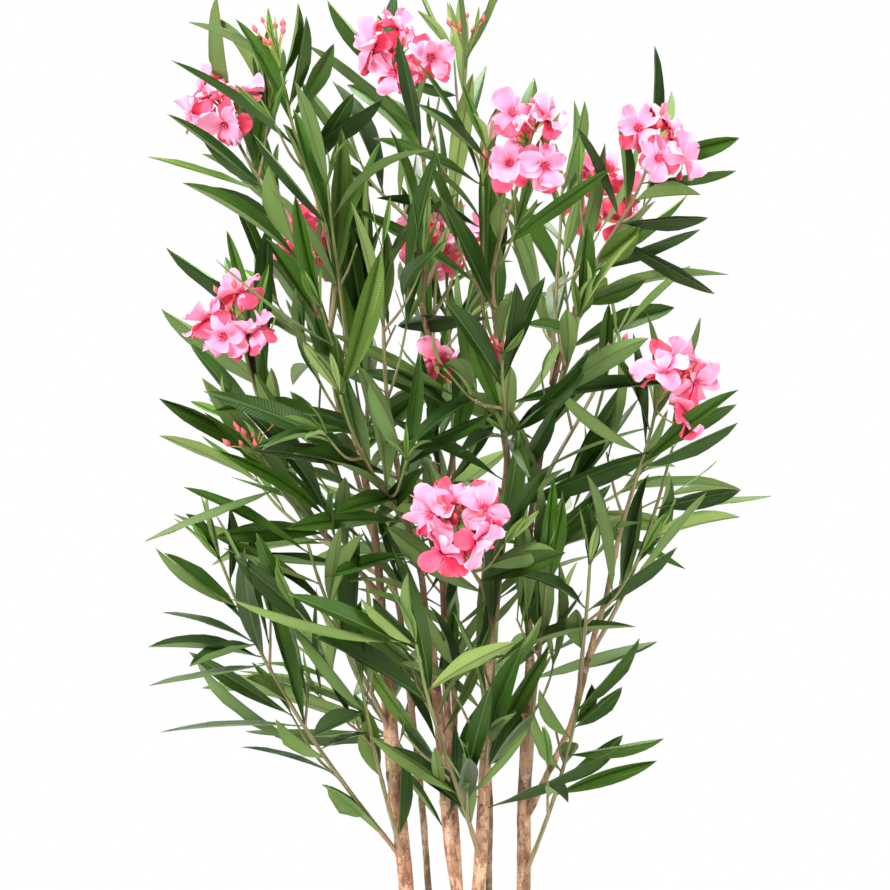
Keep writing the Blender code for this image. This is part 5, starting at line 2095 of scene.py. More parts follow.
@dataclass(frozen=True)
class Leaves:
    """The leaves' shape: a lance-shaped blade on a short stalk, folded, bent and slightly rippled."""

    rows: tuple[float, ...] = (0.0, 0.03, 0.065, 0.12, 0.20, 0.30, 0.41, 0.53, 0.65, 0.77, 0.87, 0.945, 1.0)
    columns: tuple[float, ...] = (-1.0, -0.52, 0.0, 0.52, 1.0)
    narrower: Range = (0.74, 1.14)
    longer: Range = (1.08, 1.32)
    widest: float = 0.0275
    stray: float = 0.18
    low_lift: float = 0.40
    low_below: float = 0.90
    low_over: float = 0.1
    stalk_end: float = 0.05
    stalk_share: float = 0.085
    tip_share: float = 0.012
    base_power: float = 1.15
    tip_power: float = 1.02
    thickness: float = 0.00026
    stalk_thickness: float = 0.00062
    tip_thinner: float = 0.6
    # Where the stalk ends, the blade is full and the tip is, for the thickness
    thick_at: tuple[float, ...] = (0.0, 0.06, 0.2, 1.0)
    blade_over: float = 0.1
    recurve_power: float = 1.6
    droop_power: float = 1.5
    twist_power: float = 1.3
    fold_power: float = 1.1
    map_edge: float = 0.01
    cap_share: float = 0.9
    cap_height: float = 0.012
    set_calm: float = 0.3
    fold: Range = (0.28, 1.10)
    lift: Range = (-0.02, 0.04)
    recurve: Range = (-0.04, 0.22)
    droop: Range = (0.0, 0.22)
    sweep_aside: Range = (-0.08, 0.08)
    twist: Range = (-0.85, 0.85)
    ripple: Range = (0.0, 0.13)
    waves: Range = (1.5, 3.2)
    flipped: float = 0.17
    outward: float = 1.2
    upward: float = 0.75
    frontward: float = 0.5
    shape_seed: int = 40
    shade_seed: int = 70
    deal_seed: int = 900

    def width_share(self, t: Array) -> Array:
        """The half width along the leaf: b^p (1-b)^q over its greatest value, on top of the stalk's.

        The number b runs from 0 at the stalk's end to 1 at the tip.

        Args:
            t: Places from 0 at the leaf's root to 1 at its tip.

        Returns:
            The share of the greatest half width at each place.
        """
        b = np.clip((t - self.stalk_end) / (1 - self.stalk_end), 0.0, 1.0)
        peak = self.base_power / (self.base_power + self.tip_power)
        lens = b ** self.base_power * (1 - b) ** self.tip_power
        lens = lens / (peak ** self.base_power * (1 - peak) ** self.tip_power)
        ends = np.interp(t, (0.0, 0.9, 1.0), (self.stalk_share, self.stalk_share, self.tip_share))
        return ends + (1 - ends) * lens

    def facing_light(self, middle: Array, face: Array, draws: np.random.Generator) -> Array:
        """Which side each leaf turns to the light, outwards and up, 1 or -1, but for a few.

        Args:
            middle: The leaves' middles.
            face: The ways they face.
            draws: The seeded draws.

        Returns:
            One number for each leaf.
        """
        light = unit(middle * np.array((1.0, 1.0, 0.0))) * self.outward + UP * self.upward
        light = light - np.array((0.0, self.frontward, 0.0))
        turn = np.where((face * light).sum(1) < 0, -1.0, 1.0)
        return turn * np.where(draws.random(len(middle)) < self.flipped, -1.0, 1.0)

    def surface(self, leaves: list[Leaf], seed: int) -> Array:
        """The points of many leaves at once.

        A leaf of the rule is drawn out a little longer. A point is the root, plus t times the
        length along the leaf, plus the bends of the midline (lift sin(pi t), recurve and droop with
        t squared, a sweep aside with t squared), plus its place s across the blade, raised by the
        fold times |s| and by a ripple, on a frame that the twist turns about the leaf's direction.
        A listed leaf strays and bends less, and shows the side that it should.

        Args:
            leaves: The leaves.
            seed: The seed of their bends.

        Returns:
            Leaves, rows, section points and three numbers.
        """
        draws = np.random.default_rng(seed)
        count = len(leaves)
        root = np.array([leaf.root for leaf in leaves])
        along = np.array([leaf.along for leaf in leaves])
        face = np.array([leaf.face for leaf in leaves])
        shown = np.array([leaf.shown for leaf in leaves])
        ruled = (shown == 0)[:, None]
        calm = np.where(ruled, 1.0, self.set_calm)
        longer = draws.uniform(*self.longer, (count, 1))
        length = np.array([leaf.length for leaf in leaves])[:, None] * np.where(ruled, longer, 1.0)
        width = np.array([leaf.width for leaf in leaves])[:, None] * draws.uniform(*self.narrower, (count, 1))
        width = np.minimum(width, self.widest)
        lift = UP * self.low_lift * np.clip((self.low_below - root[:, 2:]) / self.low_over, 0, 1)
        stray = draws.uniform(-self.stray, self.stray, (count, 3))
        along = unit(along + (stray + lift) * ruled)
        face = unit(face - along * (face * along).sum(1)[:, None])
        turn = self.facing_light(root + along * length / 2, face, draws)
        turn = np.where(shown == 0, turn, shown)
        face = face * turn[:, None]
        side = np.cross(face, along)
        t = np.array(self.rows)[None]
        level = np.sqrt(np.clip(1 - along[:, 2] ** 2, 0, 1))[:, None]

        def drawn(limits: Range, power: float = 1.0) -> Array:
            """One number for each leaf between two limits, nearer the first with a higher power."""
            return limits[0] + (limits[1] - limits[0]) * draws.random((count, 1)) ** power

        bend = (drawn(self.lift) * np.sin(math.pi * t)
                - drawn(self.recurve, self.recurve_power) * calm * t ** 2)
        curve = np.array([leaf.curve for leaf in leaves]) * turn
        aside = (drawn(self.sweep_aside) * calm + curve[:, None]) * t ** 2
        sink = drawn(self.droop, self.droop_power) * level * calm * t ** 2
        midline = (root[:, None] + along[:, None] * (length * t)[..., None]
                   + face[:, None] * (length * bend)[..., None]
                   + side[:, None] * (length * aside)[..., None]
                   - UP * (length * sink)[..., None])
        angle = (drawn(self.twist) * calm * t ** self.twist_power)[..., None]
        across_it = side[:, None] * np.cos(angle) + face[:, None] * np.sin(angle)
        out_of_it = face[:, None] * np.cos(angle) - side[:, None] * np.sin(angle)
        s, sign = blade_ring(np.array(self.columns))
        half = (width / 2 * self.width_share(t))[..., None]
        blade = np.clip((t - self.stalk_end) / self.blade_over, 0.0, 1.0)[..., None]
        waves = np.sin(TURN * (drawn(self.waves) * t + drawn((0.0, 1.0))))[..., None]
        rise = (drawn(self.fold)[..., None] * np.abs(s) ** self.fold_power
                + drawn(self.ripple)[..., None] * waves * s * np.abs(s))
        thick = np.interp(t, self.thick_at, (self.stalk_thickness, self.stalk_thickness, self.thickness,
                                             self.thickness * self.tip_thinner))
        return (midline[:, :, None] + across_it[:, :, None] * (half * s)[..., None]
                + out_of_it[:, :, None] * (half * rise * blade + thick[..., None] * sign)[..., None])

    def faces_and_places(self) -> tuple[list[Array], list[Array]]:
        """The faces of one leaf, and their corners' places: upper side left, underside right."""
        t = np.array(self.rows)
        share = self.width_share(t)
        aside, _ = blade_ring(np.array(self.columns))
        triangles, corner_rows, corner_sides, below = blade_faces(len(t), len(self.columns))
        u = 0.25 + 0.5 * below[:, None] + LEAF_TILE_HALF * aside[corner_sides] * share[corner_rows]
        v = self.map_edge + (1 - 2 * self.map_edge) * t[corner_rows]
        cap = 0.25 + LEAF_TILE_HALF * aside * share[0] * self.cap_share
        ring = np.stack((cap, np.full(len(aside), self.cap_height)), axis=-1)
        faces = [triangles, cap_faces(len(t), len(aside), True)]
        return faces, [np.stack((u, v), axis=-1), np.stack((ring, ring))]

    def deal(self, leaves: list[Leaf]) -> dict[LeafTint, list[Leaf]]:
        """Deals each spray's leaves into the tints, by a seeded draw from the spray's own hand.

        Args:
            leaves: Every leaf of the plant.

        Returns:
            The leaves of each tint.
        """
        dealt: dict[LeafTint, list[Leaf]] = {tint: [] for tint in LeafTint}
        numbers = {spray.name: number for number, spray in enumerate(SPRAYS)}
        draws = {name: random.Random(self.deal_seed + number) for name, number in numbers.items()}
        for leaf in leaves:
            grown = draws[leaf.spray].choice(TINT_HANDS[numbers[leaf.spray] % len(TINT_HANDS)])
            dealt[leaf.tint or grown].append(leaf)
        return dealt

    def build(self, leaves: list[Leaf]) -> list[Piece]:
        """One piece for each tint, creased at the leaves' margins and midribs.

        Args:
            leaves: Every leaf of the plant.

        Returns:
            The pieces.
        """
        made = []
        faces, places = self.faces_and_places()
        aside, _ = blade_ring(np.array(self.columns))
        crease = np.tile((np.abs(aside) == 1.0) | (aside == 0.0), len(self.rows))
        for number, (tint, group) in enumerate(self.deal(leaves).items()):
            parts = MeshParts()
            points = self.surface(group, self.shape_seed + number).reshape(len(group), -1, 3)
            shade = np.random.default_rng(self.shade_seed + number).random((len(group), 1))
            values = {"shade": np.broadcast_to(shade, points.shape[:2])}
            parts.add(points, faces, places, values, crease)
            nodes = sorted({leaf.spray for leaf in group})
            made.append(parts.piece(f"leaves_{tint.value}", LEAF_FINISHES[tint].material(), "foliage", nodes))
        return made


@dataclass(frozen=True)
class PetalLayer:
    """One ring of five petals: their size, and the angles at which they leave, lie and curl."""

    name: str
    finish: PetalFinish
    seed: int
    length: float
    half_width: float
    offset: float
    leave: float
    lie: Range
    curl: Range
    cup: Range
    ruffle: float
    jitter: float = 0.5
    sizes: Range = (0.74, 1.06)
    start: float = 0.0030
    sunk: float = 0.0050
    claw: float = 0.24
    widest: float = 0.66
    settled: float = 0.38
    curled: float = 0.4
    least: float = 0.10
    ragged: float = 0.045
    ragged_over: float = 0.12
    ragged_waves: Range = (5.0, 9.0)
    ragged_finer: Range = (11.0, 15.0)
    ragged_shift: float = 6.0
    finer_share: float = 0.6
    lean: float = 0.75
    edge_waves: float = 1.5
    edge_shift: float = 3.0
    frills: Range = (1.6, 2.8)
    frill_share: float = 0.8
    row_power: float = 1.45
    rise_power: float = 1.15
    round_power: float = 2.6
    curl_power: float = 1.5
    thickness: float = 0.00018

    def outline(self, a: Array) -> Array:
        """The share of the half width at each place a along a petal.

        It is a claw, then sin(pi/2 a/widest) to a power, and closes as a blunt round end, the root of
        1 less a power of the share of the way from the widest place to the tip.

        Args:
            a: Places from 0 at the petal's root to 1 at its tip.

        Returns:
            The share at each place.
        """
        sine = np.sin(math.pi / 2 * np.clip(a / self.widest, 0, 1))
        rising = self.claw + (1 - self.claw) * sine ** self.rise_power
        past = np.clip(a - self.widest, 0, 1) / (1 - self.widest)
        return rising * np.maximum(np.sqrt(np.clip(1 - past ** self.round_power, 0, 1)), self.least)

    def shape(self, count: int, petals: int, steps: int, columns: int) -> Array:
        """The petals of many flowers, each in its flower's own frame.

        Along a petal, a runs from 0 to 1, and its slope blends from the leaving angle to the lying
        angle and on by the curl; the midline is the sum of the slope's cosines outwards and sines
        upwards. Across it, s runs from -1 to 1, and the blade is raised by the cup times s squared
        and by two ruffles. Two waves across its end make that ragged.

        Args:
            count: How many petals in all.
            petals: How many a flower has.
            steps: How many rows a petal has.
            columns: How many points a row has across it.

        Returns:
            Petals, rows, ring points and three numbers.
        """
        draws = np.random.default_rng(self.seed)

        def drawn(low: float, high: float) -> Array:
            """One number for each petal, to be spread over rows and ring points."""
            return draws.uniform(low, high, (count, 1, 1))

        a = 1 - (1 - np.linspace(0.0, 1.0, steps)) ** self.row_power
        a, share = a[None, :, None], self.outline(a)[None, :, None]
        s, sign = blade_ring(np.linspace(-1.0, 1.0, columns))
        part = np.clip(a / self.settled, 0, 1)
        settled = part ** 2 * (3 - 2 * part)
        curled = np.clip((a - self.curled) / (1 - self.curled), 0, 1) ** self.curl_power
        slope = self.leave * (1 - settled) + drawn(*self.lie) * settled + drawn(*self.curl) * curled
        size = drawn(*self.sizes)
        step = np.diff(a, axis=1, prepend=0.0) * self.length * size
        out = self.start + np.cumsum(np.cos(slope) * step, axis=1)
        rise = -self.sunk + np.cumsum(np.sin(slope) * step, axis=1)
        half = self.half_width * share * size
        lean = drawn(-1.0, 1.0) * self.lean * a
        edge = TURN * (self.edge_waves * a + drawn(0, 1)) + np.sign(s) * drawn(0, self.edge_shift)
        edge = np.sin(edge) * s ** 2 * a
        frill = np.sin(math.pi * (drawn(*self.frills) * s + drawn(0, 2))) * a ** 4
        height = (half * (drawn(*self.cup) * s ** 2 + np.sin(lean) * s)
                  + self.half_width * self.ruffle * (edge + self.frill_share * frill)
                  + self.thickness * sign)
        wild = np.sin(drawn(*self.ragged_waves) * s + drawn(0, self.ragged_shift))
        finer = np.sin(drawn(*self.ragged_finer) * s + drawn(0, self.ragged_shift))
        wild = wild + self.finer_share * finer
        out = out + self.length * self.ragged * wild * a ** 5 * np.clip((1 - a) / self.ragged_over, 0, 1)
        out = out - np.sin(slope) * height
        rise = rise + np.cos(slope) * height
        aside = half * s * np.cos(lean)
        turn = (np.arange(count)[:, None, None] % petals + self.offset) * TURN / petals
        turn = turn + drawn(-self.jitter, self.jitter)
        return np.stack((out * np.cos(turn) - aside * np.sin(turn),
                         out * np.sin(turn) + aside * np.cos(turn), rise), axis=-1)


@dataclass(frozen=True)
class Blossom:
    """The flowers: a ring of broad petals, a ring of narrower ones behind, a tube and a stalk."""

    petals: int = 5
    petal_rows: int = 10
    petal_columns: int = 7
    stalk_length: float = 0.048
    stalk_lengths: Range = (0.84, 1.08)
    spread: float = 0.72
    spread_each: float = 0.06
    spreads: Range = (0.70, 1.15)
    turn_jitter: float = 0.35
    place_seed: int = 9000
    nod: float = 0.65
    nod_seed: int = 7
    clear: float = 0.025
    clear_over: Range = (0.1, 1.0)
    clear_steps: int = 10
    map_edge: float = 0.02
    stalk_step: float = 0.004
    stalk_thick: float = 0.0021
    stalk_taper: Range = (1.15, 0.8)
    stalk_rows: int = 9
    stalk_sides: int = 8
    # How far the stalk's end and its bend lie behind the flower's middle, and the bend's lift
    stalk_end: float = 0.0185
    stalk_bend: float = 0.006
    stalk_lift: float = 0.003
    # Radius and height of each ring of the funnel and the calyx, and a tooth's path and radii
    sides: int = 15
    funnel: tuple[Range, ...] = (
        (0.0012, -0.0205), (0.0017, -0.0190), (0.0020, -0.0140), (0.0030, -0.0090), (0.0042, -0.0062),
        (0.0050, -0.0050), (0.0046, -0.0048), (0.0034, -0.0056), (0.0018, -0.0066), (0.0006, -0.0070),
    )
    calyx: tuple[Range, ...] = (
        (0.0009, -0.0200), (0.0019, -0.0190), (0.0027, -0.0165), (0.0028, -0.0135), (0.0034, -0.0105),
        (0.0026, -0.0108), (0.0012, -0.0130),
    )
    calyx_lobe: float = 0.22
    tooth: tuple[Place, ...] = (
        (0.0, 0.0, -0.012), (0.0, 0.0002, -0.006), (0.0, 0.0010, -0.002), (0.0, 0.0022, 0.0012),
    )
    tooth_radii: tuple[float, ...] = (0.0006, 0.0007, 0.0006, 0.0002)
    tooth_out: float = 0.0012
    tooth_turn: float = 0.3
    tooth_sides: int = 6
    front: PetalLayer = PetalLayer(
        "petals_front", PetalFinish("petal_front", (236, 84, 128), (252, 150, 186), (254, 186, 214), 0.28),
        21, 0.0285, 0.0132, 0.0, 1.15, (-0.45, 0.95), (-1.90, 0.70), (-0.30, 0.80), 0.30)
    back: PetalLayer = PetalLayer(
        "petals_back", PetalFinish("petal_back", (214, 30, 78), (244, 72, 108), (250, 100, 134), 0.30),
        22, 0.0275, 0.0108, 0.5, 0.70, (-1.05, 0.05), (-1.00, 0.50), (-0.40, 0.60), 0.28)
    throat: PetalFinish = PetalFinish("flower_throat", (248, 150, 168), (246, 118, 152),
                                      (250, 150, 176), 0.6)
    stalk: ShootFinish = ShootFinish("flower_stalk", (150, 160, 70), (128, 128, 52), (178, 116, 78),
                                     (96, 112, 48))

    def centres(self, spray: Spray) -> list[tuple[Array, Array]]:
        """Centres and facings of the flowers, set a little irregularly round the tip of a spray.

        Args:
            spray: The spray.

        Returns:
            Each flower's centre and facing.
        """
        tip = np.array(spray.tip)
        facing = unit(np.array(spray.facing))
        side = unit(np.cross(facing, UP))
        lift = np.cross(side, facing)
        rng = random.Random(spray.seed + self.place_seed)
        found = []
        for number in range(spray.blooms):
            angle = spray.turn + number * TURN / spray.blooms
            angle += rng.uniform(-self.turn_jitter, self.turn_jitter)
            spread = (self.spread + self.spread_each * spray.blooms) * rng.uniform(*self.spreads)
            out = unit(facing + (side * math.cos(angle) + lift * math.sin(angle)) * spread)
            length = self.stalk_length * rng.uniform(*self.stalk_lengths)
            found.append((tip + out * length, unit(out + facing)))
        return found

    def is_clear(self, leaf: Leaf, centres: Array) -> bool:
        """Whether a leaf keeps out of every flower."""
        line = leaf.on_midline(np.linspace(*self.clear_over, self.clear_steps)[:, None])
        gaps = np.linalg.norm(line[:, None] - centres[None], axis=2)
        return bool(gaps.min() > self.clear)

    def petal_places(self) -> tuple[list[Array], list[Array]]:
        """The faces of one petal and their corners' places: u across and v along."""
        rows = self.petal_rows
        s, _ = blade_ring(np.linspace(0.0, 1.0, self.petal_columns))
        triangles, corner_rows, corner_sides, _ = blade_faces(rows, self.petal_columns)
        low, span = self.map_edge, 1 - 2 * self.map_edge
        u = low + span * s
        v = low + span * corner_rows / (rows - 1)
        ends = np.stack([np.stack((u, np.full(len(s), end)), axis=-1) for end in (low, 1 - low)])
        return [triangles, cap_faces(rows, len(s), True)], [np.stack((u[corner_sides], v), axis=-1), ends]

    def frames(self, places: list[tuple[Array, Array]]) -> tuple[Array, Array]:
        """The flowers' own frames.

        A facing is turned a little by a seeded nod, and the other two directions by a seeded spin.

        Args:
            places: The flowers' centres and facings.

        Returns:
            Each flower's middle, and its frame's directions as rows, the last one its facing.
        """
        draws = np.random.default_rng(self.nod_seed)
        centre, facing = (np.array(part) for part in zip(*places))
        facing = unit(facing + draws.uniform(-self.nod, self.nod, facing.shape))
        first = unit(np.cross(facing, UP))
        second = np.cross(facing, first)
        spin = draws.uniform(0, TURN, (len(places), 1))
        return centre, np.stack((first * np.cos(spin) + second * np.sin(spin),
                                 second * np.cos(spin) - first * np.sin(spin), facing), axis=1)

    def set_down(self, shape: Array, centre: Array, frame: Array) -> Array:
        """Moves shapes from their flowers' frames into place.

        Args:
            shape: Shapes, rows, ring points and three numbers; one for all flowers, or as many for
                each flower.
            centre: The flowers' middles.
            frame: The flowers' directions.

        Returns:
            The same points in the plant's frame.
        """
        if len(shape) == 1:
            shape = np.broadcast_to(shape, (len(centre), *shape.shape[1:]))
        each = len(shape) // len(centre)
        placed = np.einsum("nrsc,ncd->nrsd", shape, np.repeat(frame, each, axis=0))
        return placed + np.repeat(centre, each, axis=0)[:, None, None]

    def turned_shape(self, profile: tuple[Range, ...], lobe: float = 0.0) -> Array:
        """A profile turned round the flower's axis, its radius times 1 + lobe cos(5 a) at the end."""
        radius, height = np.array(profile).T[..., None]
        wave = 1 + lobe * np.linspace(0, 1, len(radius))[:, None] * np.cos(self.petals * circle(self.sides))
        return turned(radius * wave, height, self.sides)[None]

    def build(self, axes: Limbs) -> list[Piece]:
        """The petals, the tubes and the stalks of every flower.

        Args:
            axes: The rings of each spray's main stem.

        Returns:
            The pieces.
        """
        flowering = [spray for spray in SPRAYS if spray.blooms]
        nodes = [spray.name for spray in flowering]
        centre, frame = self.frames([place for spray in flowering for place in self.centres(spray)])
        return [*(self.build_petals(layer, centre, frame, nodes) for layer in (self.front, self.back)),
                self.build_tubes(centre, frame, nodes),
                self.build_stalks(self.roots(axes, flowering), centre, frame, nodes)]

    def build_petals(self, layer: PetalLayer, centre: Array, frame: Array, nodes: list[str]) -> Piece:
        """One ring of petals of every flower, as one piece.

        Args:
            layer: The ring.
            centre: The flowers' middles.
            frame: The flowers' directions.
            nodes: The solids that it replaces.

        Returns:
            The piece.
        """
        count = len(centre) * self.petals
        shape = layer.shape(count, self.petals, self.petal_rows, self.petal_columns)
        placed = self.set_down(shape, centre, frame).reshape(count, -1, 3)
        _, side = blade_ring(np.linspace(-1.0, 1.0, self.petal_columns))
        parts = MeshParts()
        parts.add(placed, *self.petal_places(), crease=np.tile(side == 0, self.petal_rows))
        return parts.piece(layer.name, layer.finish.material(), "foliage", nodes)

    def build_tubes(self, centre: Array, frame: Array, nodes: list[str]) -> Piece:
        """The throat of every flower: a funnel, and a ring of small teeth that stand in it.

        Args:
            centre: The flowers' middles.
            frame: The flowers' directions.
            nodes: The solids that it replaces.

        Returns:
            The piece.
        """
        parts = MeshParts()
        parts.add_tubes(self.set_down(self.turned_shape(self.funnel), centre, frame))
        tooth = sweep(np.array([self.tooth]), np.array([self.tooth_radii]), self.tooth_sides)
        turn = np.arange(self.petals) * TURN / self.petals + self.tooth_turn
        cos, sin = np.cos(turn), np.sin(turn)
        spin = np.stack((np.stack((cos, sin, 0 * cos), 1), np.stack((-sin, cos, 0 * cos), 1),
                         np.broadcast_to(UP, (self.petals, 3))), axis=1)
        teeth = np.einsum("krsc,ncd->nrsd", tooth, spin) + (spin[:, 1] * self.tooth_out)[:, None, None]
        parts.add_tubes(self.set_down(np.tile(teeth, (len(centre), 1, 1, 1)), centre, frame))
        return parts.piece("flower_tubes", self.throat.material(), "foliage", nodes)

    def roots(self, axes: Limbs, flowering: list[Spray]) -> Array:
        """Where each flower's stalk leaves its spray, a step below the one before.

        Args:
            axes: The rings of each spray's main stem.
            flowering: The sprays with flowers.

        Returns:
            One point for each flower.
        """
        found = []
        for spray in flowering:
            points = axes[spray.name][0]
            length = dense(points)[1]
            found += [along_path(points, length - number * self.stalk_step)[0]
                      for number in range(spray.blooms)]
        return np.array(found)

    def build_stalks(self, start: Array, centre: Array, frame: Array, nodes: list[str]) -> Piece:
        """A stalk from the spray's end to each flower's back, with a lobed calyx on its end.

        Args:
            start: Where each stalk leaves its spray.
            centre: The flowers' middles.
            frame: The flowers' directions.
            nodes: The solids that it replaces.

        Returns:
            The piece.
        """
        facing = frame[:, 2]
        end = centre - facing * self.stalk_end
        bend = (start + end) / 2 - facing * self.stalk_bend + UP * self.stalk_lift
        radii = np.linspace(*self.stalk_taper, self.stalk_rows) * self.stalk_thick / 2
        radii = np.broadcast_to(radii, (len(start), self.stalk_rows))
        parts = MeshParts()
        parts.add_tubes(sweep(arcs(start, bend, end, self.stalk_rows), radii, self.stalk_sides))
        parts.add_tubes(self.set_down(self.turned_shape(self.calyx, self.calyx_lobe), centre, frame))
        return parts.piece("flower_stalks", self.stalk.material(), "foliage", nodes)


@dataclass(frozen=True)
class Buds:
    """Closed buds on short stalks round the ends of the sprays that bear them."""

    spread: float = 0.75
    spread_among: float = 0.50
    least_spread: float = 0.10
    stem_share: float = 0.3
    rise: float = 0.15
    bud_rise: float = 0.3
    reach: Range = (0.024, 0.056)
    bend: float = 0.55
    size: Range = (0.0075, 0.0125)
    seed: int = 7000
    rows: int = 8
    stalk_radii: Range = (0.0011, 0.0007)
    stalk_sides: int = 7
    sides: int = 9
    # The bud's radius along it, as shares of its widest
    profile: tuple[float, ...] = (0.10, 0.55, 0.90, 1.0, 0.86, 0.58, 0.28, 0.05)
    widest: float = 0.27
    overlap: float = 0.08
    stalk: ShootFinish = ShootFinish("bud_stalk", (132, 158, 62), (120, 132, 50), (206, 132, 84),
                                     (96, 116, 48))
    skin: ShootFinish = ShootFinish("bud", (226, 96, 104), (202, 92, 84), (240, 110, 132),
                                    (150, 150, 66), 0.5)

    def places(self, spray: Spray, points: Array) -> list[tuple[Array, Array, Array, Array, float]]:
        """The buds of a spray, each by a seeded draw.

        Args:
            spray: The spray.
            points: The path of its main stem.

        Returns:
            The root, bend and end of each stalk, and its bud's direction and length.
        """
        rng = random.Random(spray.seed + self.seed)
        tip, tangent = points[-1], unit(points[-1] - points[-2])
        widest = self.spread
        if spray.blooms:
            tangent = unit(tangent * self.stem_share + unit(np.array(spray.facing)))
            widest = self.spread_among
        azimuth = rng.uniform(0, TURN)
        found = []
        for _ in range(spray.buds):
            azimuth += GOLDEN_ANGLE
            radial = round_stem(tangent, azimuth)
            opening = rng.uniform(self.least_spread, widest)
            out = unit(tangent * math.cos(opening) + radial * math.sin(opening) + UP * self.rise)
            reach = rng.uniform(*self.reach)
            found.append((tip, tip + tangent * reach * self.bend, tip + out * reach,
                          unit(out + UP * self.bud_rise), rng.uniform(*self.size)))
        return found

    def build(self, axes: Limbs) -> list[Piece]:
        """The stalks and the buds.

        Args:
            axes: The rings of each spray's main stem.

        Returns:
            The two pieces.
        """
        bearing = [spray for spray in SPRAYS if spray.buds]
        names = [spray.name for spray in bearing]
        found = [bud for spray in bearing for bud in self.places(spray, axes[spray.name][0])]
        tip, bend, end, way, size = (np.array(part) for part in zip(*found))
        radii = np.broadcast_to(np.linspace(*self.stalk_radii, self.rows), (len(found), self.rows))
        stalks = MeshParts()
        stalks.add_tubes(sweep(arcs(tip, bend, end, self.rows), radii, self.stalk_sides))
        reach = np.linspace(-self.overlap, 1.0, self.rows)[None, :, None]
        paths = end[:, None] + way[:, None] * reach * size[:, None, None]
        buds = MeshParts()
        buds.add_tubes(sweep(paths, np.array(self.profile) * size[:, None] * self.widest, self.sides))
        return [stalks.piece("bud_stalks", self.stalk.material(), "foliage", names),
                buds.piece("buds", self.skin.material(), "foliage", names)]


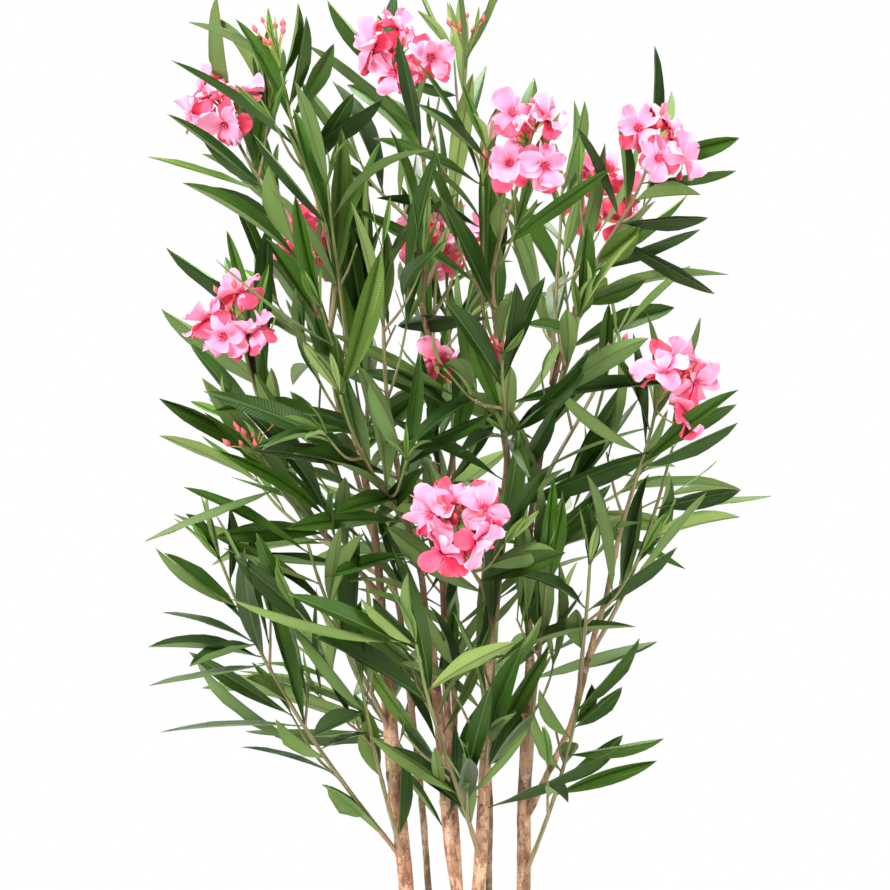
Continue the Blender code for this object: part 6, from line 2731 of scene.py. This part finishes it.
@dataclass(frozen=True)
class Studio:
    """A pale floor, soft lights, a white surround and the camera."""

    floor_radius: float = 4.2
    floor_shares: tuple[float, ...] = (0.001, 0.25, 0.5, 0.75, 1.0, 1.0)
    floor_edge: float = 0.02
    floor_sides: int = 96
    camera_place: Place = (-0.021, -4.0, 0.99)
    lens: float = 154.1
    sensor: float = 36.0
    sight: float = 60.0
    seen: float = 1.0
    cast: float = 0.25
    lamps: tuple[tuple[str, Place, float, float], ...] = (
        ("key_left", (-2.2, -2.6, 3.0), 1.3, 210.0),
        ("key_right", (2.6, -2.6, 2.0), 1.8, 105.0),
        ("top", (0.0, 0.5, 3.2), 1.6, 145.0),
        ("back", (0.6, 3.0, 2.4), 2.0, 60.0),
    )
    lit: Place = (0.0, 0.0, 0.9)

    def build_floor(self) -> Piece:
        """A thin round floor, with an edge a little below."""
        share = np.array(self.floor_shares)[:, None]
        drop = np.zeros_like(share)
        drop[-1] = -self.floor_edge
        parts = MeshParts()
        parts.add_tubes(turned(self.floor_radius * share, drop, self.floor_sides)[None], inward=True)
        floor = parts.build("studio_floor", FloorFinish().material())
        return floor

    def build_lamps(self) -> None:
        """Square area lights that look at the crown."""
        for name, place, size, power in self.lamps:
            data = bpy.data.lights.new(name, "AREA")
            data.size = size
            data.energy = power
            lamp = bpy.data.objects.new(name, data)
            lamp.location = place
            direction = Vector(self.lit) - Vector(place)
            lamp.rotation_euler = direction.to_track_quat("-Z", "Y").to_euler()
            bpy.context.scene.collection.objects.link(lamp)

    def build_surround(self) -> None:
        """An even surround, white where it is seen and dimmer as a light."""
        world = bpy.data.worlds.new("surround")
        world.use_nodes = True
        tree = world.node_tree
        background = tree.nodes["Background"]
        background.inputs["Color"].default_value = (1.0, 1.0, 1.0, 1.0)
        path = tree.nodes.new("ShaderNodeLightPath")
        strength = tree.nodes.new("ShaderNodeMapRange")
        strength.inputs["To Min"].default_value = self.cast
        strength.inputs["To Max"].default_value = self.seen
        tree.links.new(path.outputs["Is Camera Ray"], strength.inputs["Value"])
        tree.links.new(strength.outputs[0], background.inputs["Strength"])
        bpy.context.scene.world = world
        bpy.context.scene.view_settings.view_transform = "Standard"

    def build_camera(self) -> None:
        """A level camera in front of the crown."""
        data = bpy.data.cameras.new("camera")
        data.lens = self.lens
        data.sensor_width = self.sensor
        data.clip_end = self.sight
        camera = bpy.data.objects.new("camera", data)
        camera.location = self.camera_place
        camera.rotation_euler = (math.pi / 2, 0.0, 0.0)
        bpy.context.scene.collection.objects.link(camera)
        bpy.context.scene.camera = camera

    def build(self) -> None:
        """Everything that stands round the plant."""
        self.build_camera()
        self.build_lamps()
        self.build_surround()
        self.build_floor()


@dataclass(frozen=True)
class Oleander:
    """The whole plant: it works out the growth once and builds every sub-assembly from it."""

    skeleton: Skeleton = Skeleton()
    rule: GrowthRule = GrowthRule()
    finer: FinerRule = FinerRule()
    blossom: Blossom = Blossom()

    def build(self) -> None:
        """Grows the plant, then builds pot, filling, limbs, twigs, leaves and blossom."""
        limbs = self.skeleton.limbs()
        axes = self.skeleton.axes(limbs)
        space = Space(limbs, axes)
        grown = {spray.name: self.rule.grow(spray, axes[spray.name][0], space) for spray in SPRAYS}
        leaves = [leaf for growth in grown.values() for leaf in growth.leaves]
        young = [leaf for spray in SPRAYS
                 for leaf in self.finer.grow(spray, axes[spray.name][0], grown[spray.name], space)]
        centres = np.array([centre for spray in SPRAYS for centre, _ in self.blossom.centres(spray)])
        extra = self.finer.on_boughs(limbs, space)
        placed = self.finer.set_by_hand(axes)
        ruled = self.finer.make_room(self.finer.thinned(leaves), placed)
        kept = [leaf for leaf in ruled + young + extra + placed if self.blossom.is_clear(leaf, centres)]
        LOG.info("grown: %d leaves, %d young ones, %d on boughs, %d set, %d kept", len(leaves),
                 len(young), len(extra), len(placed), len(kept))
        Pot().build()
        Filling().build([(limbs[limb.name][0][0], limbs[limb.name][1][0]) for limb in STEMS])
        BarkLimbs().build(limbs, self.skeleton)
        Twigs().build(axes, grown, limbs, self.skeleton)
        Leaves().build(kept)
        self.blossom.build(axes)
        Buds().build(axes)


def corners(box: tuple) -> list[list[float]]:
    """A box's two corners as plain lists."""
    return [[float(part) for part in corner] for corner in box]


def main() -> None:
    """Loads the frame, dresses it and sets up the studio."""
    logging.basicConfig(level=logging.INFO, format="%(message)s")
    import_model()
    Oleander().build()
    Studio().build()
    bpy.context.view_layer.update()


if __name__ == "__main__":
    main()
